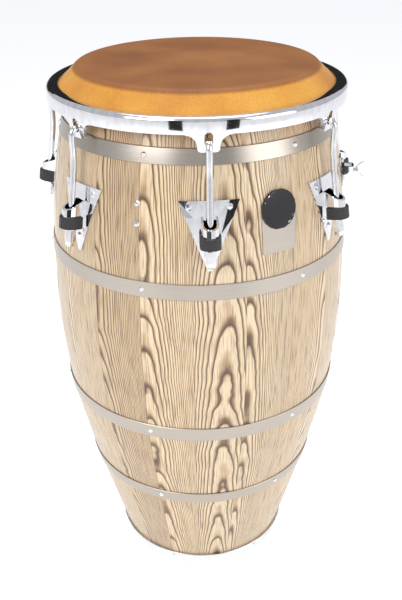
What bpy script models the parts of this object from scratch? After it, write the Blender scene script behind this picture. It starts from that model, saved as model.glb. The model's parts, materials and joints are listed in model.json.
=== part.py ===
"""Tumba: a tall stave-built hand drum with a hide head, tuned by seven hooks.

Metres, +Z up. The origin is on the drum's axis, on the floor. Azimuth 0 looks out along -Y,
over the first tuning hook, and azimuths grow towards +X.
"""
import math

import bmesh
import bpy
from mathutils import Matrix, Vector

# Overall sizes
HEIGHT = 0.762
GAP = 0.0003
LUG_COUNT = 7
FACETS_PER_LUG = 6
SHELL_ROWS = 13

# Shell: outer radii at heights that are shares of the drum's height, and its wall
FOOT_RADIUS = 0.1234
LOWER_SHARE = 0.2625
LOWER_RADIUS = 0.1759
FLANK_SHARE = 0.42
FLANK_RADIUS = 0.1989
BELLY_SHARE = 0.5774
BELLY_RADIUS = 0.2067
CHEST_SHARE = 0.735
CHEST_RADIUS = 0.2018
SHOULDER_SHARE = 0.866
SHOULDER_RADIUS = 0.1883
MOUTH_RADIUS = 0.160
SHELL_WALL = 0.011
EDGE_ROUND = 0.008

# Head: a hide drawn over the shell's edge and lapped round a steel hoop
SKIN_THICKNESS = 0.0022
COLLAR_SLOPE = math.radians(45)
HOOP_DROP = 0.0375
HOOP_WIRE = 0.0048
LAP_END = math.radians(-210)

# Rim, which presses on the lapped hoop, and its slotted ears
RIM_RISE = 0.0155
RIM_DEPTH = 0.020
RIM_SKIRT = 0.005
RIM_CLEARANCE = 0.0011
RIM_TOP_ROUND = 0.0055
RIM_EDGE_ROUND = 0.0012
EAR_DROP = 0.021
EAR_WIDTH = 0.026
EAR_FILLET = 0.015
EAR_THICKNESS = 0.004
EAR_SET_IN = 0.0007
EAR_LEAN = 0.0028
SLOT_WIDTH = 0.010
SLOT_LENGTH = 0.0173
BAR_DEPTH = 0.0068

# Tuning hooks: over the ear's bar, straight down, then bent outwards through the bracket
HOOK_ROD = 0.0079
HOOK_STANDOFF = 0.0038
HOOK_BEND_RADIUS = 0.0085
HOOK_TIP = 0.0025
HOOK_TILT = math.radians(9)
KNEE_DROP = 0.090
KNEE_RADIUS = 0.12
THREAD_LENGTH_IN_NUT = 0.0165

# Tuning nuts and washers, under the bracket
NUT_FLATS = 0.0127
NUT_LENGTH = 0.022
NUT_TAPER = 0.0065
NUT_BORE_DEPTH = 0.0185
THREAD_CLEARANCE = 0.00018
WASHER_RADIUS = 0.0093
WASHER_THICKNESS = 0.002
WASHER_CLEARANCE = 0.0005

# Side plates with their welded brackets, and the rubber guards on them
PLATE_TOP_DROP = 0.121
PLATE_LENGTH = 0.086
PLATE_WIDTH = 0.0735
PLATE_TIP_WIDTH = 0.005
PLATE_THICKNESS = 0.0023
BRACKET_DROP = 0.1725
BRACKET_BACK_LENGTH = 0.037
BRACKET_FRONT_LENGTH = 0.0232
BRACKET_INNER_RADIUS = 0.0076
BRACKET_WALL = 0.0027
BRACKET_OFFSET = 0.0015
BRACKET_EMBED = 0.0008
GUARD_SIDE = 0.0020
GUARD_FRONT = 0.0030
GUARD_HEIGHT = 0.0155
GUARD_SADDLE = 0.0022
GUARD_SETBACK = 0.0045

# Bolts through the stave wall
BOLT_HEAD_RADIUS = 0.0043
BOLT_HEAD_HEIGHT = 0.0026
BOLT_SHANK_RADIUS = 0.0024
BOLT_NUT_RADIUS = 0.0046
BOLT_NUT_HEIGHT = 0.0034
BOLT_CLEARANCE = 0.0005
BOLT_NUT_STANDOFF = 0.0008
PLATE_BOLT_SPREAD = 0.048
PLATE_BOLT_DROP = 0.008
TIP_BOLT_RISE = 0.020

# Bands: how far each top edge lies under the head, or over the floor, and the widths
BAND_THICKNESS = 0.0014
TOP_BAND_DROP = 0.0623
TOP_BAND_WIDTH = 0.019
UPPER_BAND_DROP = 0.226
UPPER_BAND_WIDTH = 0.0207
LOWER_BAND_HEIGHT = 0.317
LOWER_BAND_WIDTH = 0.0215
BOTTOM_BAND_HEIGHT = 0.181
BOTTOM_BAND_WIDTH = 0.0198

# Base ring round the foot
RING_HEIGHT = 0.021
RING_WALL = 0.003
RING_FLOOR = 0.003
RING_LEDGE = 0.002

# Accessory bracket: a channel that clamps an upright rod with a wing bolt and a pad
ACCESSORY_DROP = 0.1413
ACCESSORY_PITCHES = 1.5
SPARE_PITCHES = -0.5
ACCESSORY_PLATE_WIDTH = 0.022
ACCESSORY_PLATE_LENGTH = 0.039
ACCESSORY_PLATE_THICKNESS = 0.0017
ACCESSORY_BOLT_SPREAD = 0.0245
CHANNEL_HEIGHT = 0.0142
CHANNEL_INNER_WIDTH = 0.0138
CHANNEL_WALL = 0.0022
CHANNEL_CORNER = 0.002
SEAT_RISE = 0.0008
CLAMP_ROD = 0.008
CLAMP_SLACK = 0.0011
PAD_RADIUS = 0.0045
PAD_THICKNESS = 0.0012
WING_BOLT_RADIUS = 0.003
WING_BOLT_CLEARANCE = 0.0002
WING_HUB_RADIUS = 0.0056
WING_HUB_LENGTH = 0.0045
WING_TRAVEL = 0.0024
WING_SPAN = 0.027
WING_REACH = 0.0135
WING_THICKNESS = 0.0026
WING_TURN = math.radians(100)

# Badge, left bare
BADGE_PITCHES = 0.5
BADGE_DROP = 0.141
BADGE_DISC_RADIUS = 0.0245
BADGE_DISC_THICKNESS = 0.0018
BADGE_PLATE_WIDTH = 0.048
BADGE_PLATE_TAIL = 0.054
BADGE_PLATE_THICKNESS = 0.001

# Sizes that follow from those above
FACETS = LUG_COUNT * FACETS_PER_LUG
LUG_PITCH = math.tau / LUG_COUNT
SHELL_BOTTOM = RING_FLOOR + GAP
SHELL_TOP = HEIGHT - SKIN_THICKNESS - GAP
EDGE_HEIGHT = SHELL_TOP - EDGE_ROUND
EDGE_CENTRE = (MOUTH_RADIUS - EDGE_ROUND, EDGE_HEIGHT)
STATIONS = [
    (0.0, FOOT_RADIUS),
    (LOWER_SHARE * HEIGHT, LOWER_RADIUS),
    (FLANK_SHARE * HEIGHT, FLANK_RADIUS),
    (BELLY_SHARE * HEIGHT, BELLY_RADIUS),
    (CHEST_SHARE * HEIGHT, CHEST_RADIUS),
    (SHOULDER_SHARE * HEIGHT, SHOULDER_RADIUS),
    (EDGE_HEIGHT, MOUTH_RADIUS),
]


for leftover in list(bpy.data.objects):
    bpy.data.objects.remove(leftover, do_unlink=True)


def material(name, colour, roughness, metallic=0.0):
    """A plain Principled finish."""
    finish = bpy.data.materials.new(name)
    finish.use_nodes = True
    shader = finish.node_tree.nodes["Principled BSDF"]
    shader.inputs["Base Color"].default_value = (*colour, 1.0)
    shader.inputs["Roughness"].default_value = roughness
    shader.inputs["Metallic"].default_value = metallic
    return finish


ASH = material("ash", (0.78, 0.60, 0.38), 0.45)
HIDE = material("hide", (0.72, 0.38, 0.13), 0.5)
CHROME = material("chrome", (0.80, 0.80, 0.82), 0.08, 1.0)
BAND_STEEL = material("band_steel", (0.66, 0.62, 0.57), 0.35, 1.0)
RING_METAL = material("ring_metal", (0.80, 0.81, 0.82), 0.3, 1.0)
HOOP_STEEL = material("hoop_steel", (0.45, 0.45, 0.46), 0.4, 1.0)
RUBBER = material("rubber", (0.02, 0.02, 0.02), 0.6)
ENAMEL = material("enamel", (0.02, 0.02, 0.022), 0.2)


def station_slopes():
    """The slope of the shell's outline at each station, with no overshoot between stations."""
    slopes = []
    chords = []
    for (low, low_radius), (high, high_radius) in zip(STATIONS, STATIONS[1:]):
        chords.append((high_radius - low_radius) / (high - low))
    slopes.append(chords[0])
    for before, after in zip(chords, chords[1:]):
        if before * after <= 0:
            slopes.append(0.0)
        else:
            slopes.append(2 * before * after / (before + after))
    slopes.append(chords[-1])
    return slopes


SLOPES = station_slopes()


def shell_radius(height):
    """The shell's outer radius at a height, on one smooth curve through the stations."""
    index = 0
    while index < len(STATIONS) - 2 and height > STATIONS[index + 1][0]:
        index += 1
    low, low_radius = STATIONS[index]
    high, high_radius = STATIONS[index + 1]
    span = high - low
    t = (height - low) / span
    return (
        low_radius * (1 + 2 * t) * (1 - t) ** 2
        + high_radius * t * t * (3 - 2 * t)
        + span * SLOPES[index] * t * (1 - t) ** 2
        - span * SLOPES[index + 1] * t * t * (1 - t)
    )


def around(radius, azimuth, height):
    """A point at a radius and azimuth about the drum's axis."""
    return Vector((radius * math.sin(azimuth), -radius * math.cos(azimuth), height))


def surface_frame(azimuth, height, offset):
    """A frame on the shell: its origin stands off by offset, and its Z is the outward normal."""
    step = 0.0005
    slope = (shell_radius(height + step) - shell_radius(height - step)) / (2 * step)
    outward = around(1.0, azimuth, 0.0)
    normal = (outward - Vector((0, 0, slope))).normalized()
    across = Vector((math.cos(azimuth), math.sin(azimuth), 0.0))
    upward = normal.cross(across)
    origin = around(shell_radius(height), azimuth, height) + normal * offset
    frame = Matrix((across, upward, normal)).transposed().to_4x4()
    frame.translation = origin
    return frame


def finish_mesh(name, bm):
    """Turns bmesh geometry into a mesh whose faces point out, smooth but for its edges."""
    bmesh.ops.recalc_face_normals(bm, faces=bm.faces)
    mesh = bpy.data.meshes.new(name)
    bm.to_mesh(mesh)
    bm.free()
    mesh.shade_smooth()
    mesh.set_sharp_from_angle(angle=math.radians(35))
    return mesh


def place(name, mesh, finish, parent=None, location=(0, 0, 0), rotation=(0, 0, 0)):
    """Puts a mesh in the scene as the named piece."""
    piece = bpy.data.objects.new(name, mesh)
    bpy.context.scene.collection.objects.link(piece)
    if finish is not None and not mesh.materials:
        mesh.materials.append(finish)
    piece.parent = parent
    piece.location = location
    piece.rotation_euler = rotation
    return piece


def tool(name, mesh):
    """A shape that only cuts or joins another, kept out of the model."""
    helper = place(name, mesh, None)
    helper.hide_render = True
    helper.display_type = "WIRE"
    return helper


def combine(piece, helper, operation):
    """Adds an exact Boolean of helper to a piece."""
    modifier = piece.modifiers.new(operation.lower(), "BOOLEAN")
    modifier.solver = "EXACT"
    modifier.operation = operation
    modifier.object = helper


def baked(piece):
    """The mesh of a piece after its modifiers, with the piece itself removed."""
    graph = bpy.context.evaluated_depsgraph_get()
    mesh = bpy.data.meshes.new_from_object(piece.evaluated_get(graph))
    mesh.name = piece.name + "_mesh"
    bpy.data.objects.remove(piece, do_unlink=True)
    return mesh


def rounded(corners, steps=3):
    """A closed outline from (x, y, fillet radius) corners, each fillet drawn in steps."""
    outline = []
    count = len(corners)
    for index, (x, y, radius) in enumerate(corners):
        corner = Vector((x, y))
        if radius == 0:
            outline.append((x, y))
            continue
        to_last = (Vector(corners[index - 1][:2]) - corner).normalized()
        to_next = (Vector(corners[(index + 1) % count][:2]) - corner).normalized()
        half_angle = to_last.angle(to_next) / 2
        bisector = (to_last + to_next).normalized()
        centre = corner + bisector * (radius / math.sin(half_angle))
        reach = radius / math.tan(half_angle)
        start = corner + to_last * reach - centre
        end = corner + to_next * reach - centre
        sweep = math.atan2(start.x * end.y - start.y * end.x, start.dot(end))
        for step in range(steps + 1):
            turn = Matrix.Rotation(sweep * step / steps, 2)
            point = centre + turn @ start
            outline.append((point.x, point.y))
    return outline


def turned(name, outline, facets=FACETS, frame=None):
    """A closed outline of (radius, height) turned about Z, from azimuth 0."""
    bm = bmesh.new()
    rings = []
    for radius, height in outline:
        if radius < 1e-7:
            rings.append([bm.verts.new((0, 0, height))] * facets)
        else:
            rings.append([bm.verts.new(around(radius, math.tau * k / facets, height)) for k in range(facets)])
    for ring, following in zip(rings, rings[1:] + rings[:1]):
        for k in range(facets):
            after = (k + 1) % facets
            corners = []
            for vert in (ring[k], ring[after], following[after], following[k]):
                if vert not in corners:
                    corners.append(vert)
            if len(corners) > 2:
                bm.faces.new(corners)
    if frame is not None:
        bm.transform(frame)
    return finish_mesh(name, bm)


def extruded(name, outline, low, high, frame=None):
    """An (x, y) outline raised along Z. low and high are numbers, or functions of (x, y)."""
    bm = bmesh.new()
    bottom = []
    top = []
    for x, y in outline:
        bottom.append(bm.verts.new((x, y, low(x, y) if callable(low) else low)))
        top.append(bm.verts.new((x, y, high(x, y) if callable(high) else high)))
    bm.faces.new(bottom)
    bm.faces.new(top)
    for k in range(len(outline)):
        after = (k + 1) % len(outline)
        bm.faces.new((bottom[k], bottom[after], top[after], top[k]))
    bmesh.ops.triangulate(bm, faces=[face for face in bm.faces if len(face.verts) > 4])
    if frame is not None:
        bm.transform(frame)
    return finish_mesh(name, bm)


def wrapped(name, heights, half_width, inner, outer, columns, azimuth=0.0):
    """A plate bent round the axis between two radii. All three are functions of the height."""
    bm = bmesh.new()
    sheets = []
    for radius in (inner, outer):
        rows = []
        for height in heights:
            angle = half_width(height) / outer(height)
            rows.append([
                bm.verts.new(around(radius(height), azimuth + angle * (2 * j / columns - 1), height))
                for j in range(columns + 1)
            ])
        sheets.append(rows)
    last = len(heights) - 1
    for rows in sheets:
        for low, high in zip(rows, rows[1:]):
            for j in range(columns):
                bm.faces.new((low[j], low[j + 1], high[j + 1], high[j]))
    back, front = sheets
    for row in (0, last):
        for j in range(columns):
            bm.faces.new((back[row][j], back[row][j + 1], front[row][j + 1], front[row][j]))
    for column in (0, columns):
        for i in range(last):
            bm.faces.new((back[i][column], back[i + 1][column], front[i + 1][column], front[i][column]))
    return finish_mesh(name, bm)


def joined(name, meshes):
    """Several closed shapes in one mesh, for cutting or joining."""
    bm = bmesh.new()
    for mesh in meshes:
        bm.from_mesh(mesh)
    return finish_mesh(name, bm)


def swept(name, path, radius, sides=8):
    """A round bar along a path in the YZ plane, with flat ends."""
    bm = bmesh.new()
    rings = []
    for index, point in enumerate(path):
        before = path[max(index - 1, 0)]
        after = path[min(index + 1, len(path) - 1)]
        along = (after - before).normalized()
        aside = Vector((1, 0, 0))
        third = along.cross(aside)
        bend = 1.0
        if 0 < index < len(path) - 1:
            bend = math.cos((point - before).angle(after - point) / 2)
        ring = []
        for k in range(sides):
            turn = math.tau * (k + 0.5) / sides
            ring.append(bm.verts.new(point + radius * (math.cos(turn) * aside + math.sin(turn) / bend * third)))
        rings.append(ring)
    for ring, following in zip(rings, rings[1:]):
        for k in range(sides):
            after = (k + 1) % sides
            bm.faces.new((ring[k], ring[after], following[after], following[k]))
    bm.faces.new(rings[0])
    bm.faces.new(rings[-1])
    return finish_mesh(name, bm)


def spread(low, high, count):
    """Evenly spaced values from low to high."""
    return [low + (high - low) * k / (count - 1) for k in range(count)]


def station_empty(name, azimuth):
    """An empty on the drum's axis, turned to an azimuth, that carries what stands there."""
    empty = bpy.data.objects.new(name, None)
    bpy.context.scene.collection.objects.link(empty)
    empty.rotation_euler = (0, 0, azimuth)
    bpy.context.view_layer.update()
    return empty


# Head: the collar is a cone that touches the shell's round edge and the lapped hoop
COLLAR_NORMAL = (math.sin(COLLAR_SLOPE), math.cos(COLLAR_SLOPE))
CROWN_INNER = EDGE_ROUND + GAP
CROWN_OUTER = CROWN_INNER + SKIN_THICKNESS
COLLAR_OUTER = EDGE_CENTRE[0] * COLLAR_NORMAL[0] + EDGE_CENTRE[1] * COLLAR_NORMAL[1] + CROWN_OUTER
LAP_INNER = HOOP_WIRE + GAP
LAP_OUTER = LAP_INNER + SKIN_THICKNESS
HOOP_HEIGHT = HEIGHT - HOOP_DROP
HOOP_RADIUS = (COLLAR_OUTER - LAP_OUTER - HOOP_HEIGHT * COLLAR_NORMAL[1]) / COLLAR_NORMAL[0]
HOOP_CENTRE = (HOOP_RADIUS, HOOP_HEIGHT)
TANGENT = math.pi / 2 - COLLAR_SLOPE
LAP_STEP = math.radians(60)


def arc(centre, radius, start, end, steps):
    """Points of an arc in the (radius, height) plane, both ends included."""
    return [
        (centre[0] + radius * math.cos(turn), centre[1] + radius * math.sin(turn))
        for turn in spread(start, end, steps + 1)
    ]


def lap_turns():
    """The angles at which the hide's lap and the hoop both have their corners."""
    turns = []
    turn = TANGENT
    while turn > LAP_END:
        turns.append(turn)
        turn -= LAP_STEP
    return turns + [LAP_END]


def circle_points(centre, radius, turns):
    """Points of a circle at the given angles."""
    return [(centre[0] + radius * math.cos(turn), centre[1] + radius * math.sin(turn)) for turn in turns]


def build_head():
    """The hide, and the steel hoop that it is lapped round."""
    outline = [(0, HEIGHT)]
    outline += arc(EDGE_CENTRE, CROWN_OUTER, math.pi / 2, TANGENT, 2)
    outline += circle_points(HOOP_CENTRE, LAP_OUTER, lap_turns())
    outline += circle_points(HOOP_CENTRE, LAP_INNER, reversed(lap_turns()))
    outline += arc(EDGE_CENTRE, CROWN_INNER, TANGENT, math.pi / 2, 2)
    outline += [(0, HEIGHT - SKIN_THICKNESS)]
    place("head_skin", turned("head_skin", outline), HIDE)
    hoop_turns = [TANGENT + LAP_STEP * k for k in range(6)]
    hoop = circle_points(HOOP_CENTRE, HOOP_WIRE, hoop_turns)
    place("flesh_hoop", turned("flesh_hoop", hoop), HOOP_STEEL)


# Rim
RIM_TOP = HOOP_HEIGHT + RIM_RISE
RIM_BOTTOM = RIM_TOP - RIM_DEPTH
RIM_INNER = HOOP_RADIUS + LAP_OUTER + RIM_CLEARANCE
RIM_OUTER = RIM_INNER + RIM_SKIRT
EAR_BOTTOM = RIM_BOTTOM - EAR_DROP
EAR_TOP = RIM_BOTTOM + RIM_DEPTH / 8
BAR_TOP = EAR_BOTTOM + BAR_DEPTH


def collar_radius(height, clearance):
    """The radius of the hide's cone at a height, grown by a clearance."""
    return (COLLAR_OUTER + clearance - height * COLLAR_NORMAL[1]) / COLLAR_NORMAL[0]


def collar_height(radius, clearance):
    """The height of the hide's cone at a radius, grown by a clearance."""
    return (COLLAR_OUTER + clearance - radius * COLLAR_NORMAL[0]) / COLLAR_NORMAL[1]


def ear_outer(height):
    """The ear's outer radius, which leans in towards its lower end."""
    fall = min(max((RIM_BOTTOM - height) / EAR_DROP, 0), 1)
    return RIM_OUTER - EAR_SET_IN - EAR_LEAN * fall


def ear_inner(height):
    """The ear's inner radius."""
    return ear_outer(height) - EAR_THICKNESS


def ear_half_width(height):
    """Half the ear's width: a straight tongue, with fillets up into the rim."""
    corner = EAR_WIDTH / 6
    rise = height - EAR_BOTTOM
    if rise < corner:
        return EAR_WIDTH / 2 - corner + math.sqrt(max(corner ** 2 - (corner - rise) ** 2, 0))
    into_fillet = height - (RIM_BOTTOM - EAR_FILLET)
    if into_fillet <= 0:
        return EAR_WIDTH / 2
    into_fillet = min(into_fillet, EAR_FILLET)
    return EAR_WIDTH / 2 + EAR_FILLET - math.sqrt(EAR_FILLET ** 2 - into_fillet ** 2)


def stadium(width, length, steps=3):
    """An upright slot's outline about its lower end, with round ends."""
    radius = width / 2
    low = arc((0, radius), radius, math.pi, math.tau, steps)
    high = arc((0, length - radius), radius, 0, math.pi, steps)
    return low + high


def build_rim():
    """The rim, turned, with its ears joined on and their slots cut."""
    outline = rounded([
        (collar_radius(RIM_TOP, GAP), RIM_TOP, RIM_EDGE_ROUND),
        (RIM_INNER, collar_height(RIM_INNER, GAP), 0),
        (RIM_INNER, RIM_BOTTOM, RIM_EDGE_ROUND / 2),
        (RIM_OUTER, RIM_BOTTOM, RIM_EDGE_ROUND),
        (RIM_OUTER, RIM_TOP, RIM_TOP_ROUND),
    ], steps=2)
    rim = place("rim", turned("rim", outline), CHROME)
    corner = EAR_WIDTH / 6
    straight = [EAR_BOTTOM, EAR_BOTTOM + corner / 4, EAR_BOTTOM + corner, RIM_BOTTOM - EAR_FILLET]
    curved = [RIM_BOTTOM - EAR_FILLET * share for share in (0.5, 0.15, 0.0)]
    ears = []
    slots = []
    upright = Matrix.Rotation(math.pi / 2, 4, "X")
    for k in range(LUG_COUNT):
        azimuth = k * LUG_PITCH
        ears.append(wrapped("ear", straight + curved + [EAR_TOP], ear_half_width, ear_inner, ear_outer, 4, azimuth))
        slot_place = Matrix.Rotation(azimuth, 4, "Z") @ Matrix.Translation((0, 0, BAR_TOP)) @ upright
        slots.append(extruded("slot", stadium(SLOT_WIDTH, SLOT_LENGTH), RIM_INNER / 2, RIM_OUTER * 2, slot_place))
    combine(rim, tool("rim_ears", joined("rim_ears", ears)), "UNION")
    combine(rim, tool("rim_slots", joined("rim_slots", slots)), "DIFFERENCE")


# Tuning hook: its nose lies over the ear's bar, and its lower end follows a tilted axis
ROD_RADIUS = HOOK_ROD / 2
HOOK_RADIUS = ear_outer(BAR_TOP) + HOOK_STANDOFF + ROD_RADIUS
HOOK_ARC_RADIUS = HOOK_RADIUS - HOOK_BEND_RADIUS
HOOK_ARC_STEPS = 6
KNEE_HEIGHT = HEIGHT - KNEE_DROP
BRACKET_HEIGHT = HEIGHT - BRACKET_DROP


def axis_radius(height):
    """The radius of the hook's threaded axis at a height."""
    return HOOK_RADIUS + (KNEE_HEIGHT - height) * math.tan(HOOK_TILT)


BRACKET_RADIUS = axis_radius(BRACKET_HEIGHT)
AXIS_ORIGIN = Vector((0, -BRACKET_RADIUS, BRACKET_HEIGHT))
AXIS_TURN = (-HOOK_TILT, 0, 0)
AXIS_FRAME = Matrix.Translation(AXIS_ORIGIN) @ Matrix.Rotation(-HOOK_TILT, 4, "X")
NUT_TOP = -(GAP + WASHER_THICKNESS + GAP)


def hook_arc_height():
    """How high the nose's arc centre stands so that it clears the bar by the gap."""
    inner = (HOOK_BEND_RADIUS - ROD_RADIUS) * math.cos(math.pi / HOOK_ARC_STEPS / 2)
    bar_inner = HOOK_ARC_RADIUS - ear_inner(BAR_TOP)
    bar_outer = ear_outer(BAR_TOP) - HOOK_ARC_RADIUS
    widest = min(max(bar_inner, bar_outer), inner * 0.95)
    return BAR_TOP + GAP - math.sqrt(inner ** 2 - widest ** 2)


def hook_path():
    """The hook's centre line in the YZ plane, from its tip to its threaded end."""
    arc_height = hook_arc_height()
    centre = (HOOK_ARC_RADIUS, arc_height)
    points = [(HOOK_RADIUS - 2 * HOOK_BEND_RADIUS, arc_height - HOOK_TIP)]
    points += arc(centre, HOOK_BEND_RADIUS, math.pi, 0, HOOK_ARC_STEPS)
    reach = KNEE_RADIUS * math.tan(HOOK_TILT / 2)
    knee_centre = (HOOK_RADIUS + KNEE_RADIUS, KNEE_HEIGHT + reach)
    points += arc(knee_centre, KNEE_RADIUS, math.pi, math.pi + HOOK_TILT, 2)
    thread_end = AXIS_FRAME @ Vector((0, 0, NUT_TOP - THREAD_LENGTH_IN_NUT))
    points += [(-thread_end.y, thread_end.z)]
    return [Vector((0, -radius, height)) - AXIS_ORIGIN for radius, height in points]


def nut_mesh():
    """A long hexagonal nut with a tapered, closed end, bored from its top."""
    corner = NUT_FLATS / 2 / math.cos(math.pi / 6)
    chamfer = (corner - NUT_FLATS / 2) / 2
    outline = [
        (0, 0),
        (corner - chamfer, 0),
        (corner, -chamfer),
        (corner, NUT_TAPER - NUT_LENGTH),
        (corner * 0.86, NUT_TAPER * 0.35 - NUT_LENGTH),
        (corner * 0.55, -NUT_LENGTH),
        (0, -NUT_LENGTH),
    ]
    body = place("nut_body", turned("nut_body", outline, facets=6), CHROME)
    bore_radius = (ROD_RADIUS + THREAD_CLEARANCE) / math.cos(math.pi / 12)
    bore_outline = [(0, NUT_FLATS), (bore_radius, NUT_FLATS), (bore_radius, -NUT_BORE_DEPTH), (0, -NUT_BORE_DEPTH)]
    bore = tool("nut_bore", turned("nut_bore", bore_outline, facets=12))
    combine(body, bore, "DIFFERENCE")
    mesh = baked(body)
    bpy.data.objects.remove(bore, do_unlink=True)
    return mesh


def washer_mesh():
    """A flat washer that spans the bracket's two legs."""
    hole = ROD_RADIUS + WASHER_CLEARANCE
    outline = [
        (hole, -GAP),
        (WASHER_RADIUS, -GAP),
        (WASHER_RADIUS, -GAP - WASHER_THICKNESS),
        (hole, -GAP - WASHER_THICKNESS),
    ]
    return turned("washer", outline, facets=14)


# Bolts, drawn with Z along the bolt and 0 at the face under the head
def bolt_outline(grip):
    """A round head, a shank through the grip, and a round nut behind it."""
    return [
        (0, BOLT_HEAD_HEIGHT),
        (BOLT_HEAD_RADIUS * 0.65, BOLT_HEAD_HEIGHT * 0.86),
        (BOLT_HEAD_RADIUS, BOLT_HEAD_HEIGHT * 0.25),
        (BOLT_HEAD_RADIUS, 0),
        (BOLT_SHANK_RADIUS, 0),
        (BOLT_SHANK_RADIUS, -grip),
        (BOLT_NUT_RADIUS, -grip),
        (BOLT_NUT_RADIUS, -grip - BOLT_NUT_HEIGHT),
        (0, -grip - BOLT_NUT_HEIGHT),
    ]


def bolt_mesh(name, azimuth, height, offset):
    """A bolt through the wall, its head's underside standing off the shell by offset."""
    grip = offset + SHELL_WALL + BOLT_NUT_STANDOFF
    frame = surface_frame(azimuth, height, offset)
    return turned(name, bolt_outline(grip), facets=6, frame=frame)


def hole_mesh(azimuth, height):
    """A clearance hole through the wall for one bolt."""
    reach = SHELL_WALL * 2
    radius = BOLT_SHANK_RADIUS + BOLT_CLEARANCE
    outline = [(0, reach), (radius, reach), (radius, -reach), (0, -reach)]
    return turned("hole", outline, facets=6, frame=surface_frame(azimuth, height, 0))


# Side plates
PLATE_TOP = HEIGHT - PLATE_TOP_DROP
PLATE_TIP = PLATE_TOP - PLATE_LENGTH
PLATE_FACE = GAP + PLATE_THICKNESS
PLATE_BOLT_HEIGHT = PLATE_TOP - PLATE_BOLT_DROP
PLATE_BOLT_ANGLE = PLATE_BOLT_SPREAD / 2 / shell_radius(PLATE_BOLT_HEIGHT)
TIP_BOLT_HEIGHT = PLATE_TIP + TIP_BOLT_RISE
PLATE_BOLTS = [
    (-PLATE_BOLT_ANGLE, PLATE_BOLT_HEIGHT),
    (PLATE_BOLT_ANGLE, PLATE_BOLT_HEIGHT),
    (0.0, TIP_BOLT_HEIGHT),
]
BRACKET_OUTER = BRACKET_INNER_RADIUS + BRACKET_WALL


def plate_half_width(height):
    """Half the triangle's width at a height, from its blunt tip to its top edge."""
    share = (height - PLATE_TIP) / PLATE_LENGTH
    return (PLATE_TIP_WIDTH + (PLATE_WIDTH - PLATE_TIP_WIDTH) * share) / 2


def horseshoe(radius, reach, steps=6):
    """The round end and two legs of a U in the XY plane: its bend faces -Y, about (0, reach)."""
    return [(radius * math.cos(turn), reach + radius * math.sin(turn)) for turn in spread(0, -math.pi, steps + 1)]


def bracket_mesh():
    """The U strap round the hook, tilted with it, its legs cut to sink into the plate."""
    back = BRACKET_RADIUS - shell_radius(BRACKET_HEIGHT) + BRACKET_OUTER
    reach = -BRACKET_OFFSET
    outer = horseshoe(BRACKET_OUTER, reach)
    inner = horseshoe(BRACKET_INNER_RADIUS, reach)
    outline = [(BRACKET_OUTER, back)] + outer + [(-BRACKET_OUTER, back)]
    outline += [(-BRACKET_INNER_RADIUS, back)] + inner[::-1] + [(BRACKET_INNER_RADIUS, back)]
    front = reach - BRACKET_OUTER
    rear = BRACKET_RADIUS - shell_radius(BRACKET_HEIGHT)

    def top(_x, y):
        share = (y - front) / (rear - front)
        return BRACKET_FRONT_LENGTH + (BRACKET_BACK_LENGTH - BRACKET_FRONT_LENGTH) * share

    strap = place("strap", extruded("strap", outline, 0.0, top, AXIS_FRAME), CHROME)
    low = BRACKET_HEIGHT - BRACKET_BACK_LENGTH / 2
    high = BRACKET_HEIGHT + BRACKET_BACK_LENGTH * 1.6
    trimmer = wrapped(
        "trimmer",
        spread(low, high, 9),
        lambda height: BRACKET_OUTER * 2,
        lambda height: shell_radius(height) - 2 * SHELL_WALL - back,
        lambda height: shell_radius(height) + GAP + BRACKET_EMBED,
        6,
    )
    trimmer = tool("strap_trimmer", trimmer)
    combine(strap, trimmer, "DIFFERENCE")
    mesh = baked(strap)
    bpy.data.objects.remove(trimmer, do_unlink=True)
    return mesh


def side_plate_mesh():
    """The triangular plate, its bracket and its three bolts, welded into one piece."""
    heights = [PLATE_TIP, PLATE_TIP + PLATE_LENGTH * 0.06] + spread(PLATE_TIP + PLATE_LENGTH * 0.3, PLATE_TOP, 4)
    plate = wrapped(
        "plate",
        heights,
        plate_half_width,
        lambda height: shell_radius(height) + GAP,
        lambda height: shell_radius(height) + PLATE_FACE,
        6,
    )
    piece = place("side_plate", plate, CHROME)
    bolts = [bolt_mesh("bolt", azimuth, height, PLATE_FACE - GAP) for azimuth, height in PLATE_BOLTS]
    additions = [tool("bracket_strap", bracket_mesh()), tool("plate_bolts", joined("plate_bolts", bolts))]
    for addition in additions:
        combine(piece, addition, "UNION")
    mesh = baked(piece)
    for addition in additions:
        bpy.data.objects.remove(addition, do_unlink=True)
    return mesh


def guard_mesh():
    """The rubber guard: a thick U round the bracket's lower front, with a saddle-shaped top."""
    inner_radius = BRACKET_OUTER + GAP
    outer_radius = inner_radius + GUARD_SIDE
    inner_reach = -BRACKET_OFFSET
    outer_reach = inner_reach - (GUARD_FRONT - GUARD_SIDE)
    back = BRACKET_RADIUS - shell_radius(BRACKET_HEIGHT) - PLATE_FACE - GUARD_SETBACK
    outer = [(outer_radius, back)] + horseshoe(outer_radius, outer_reach) + [(-outer_radius, back)]
    inner = [(inner_radius, back)] + horseshoe(inner_radius, inner_reach) + [(-inner_radius, back)]

    def top(x, _y):
        return GUARD_HEIGHT - GUARD_SADDLE * (1 - min(abs(x) / outer_radius, 1) ** 2)

    return extruded("guard", outer + inner[::-1], 0.0, top)


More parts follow.
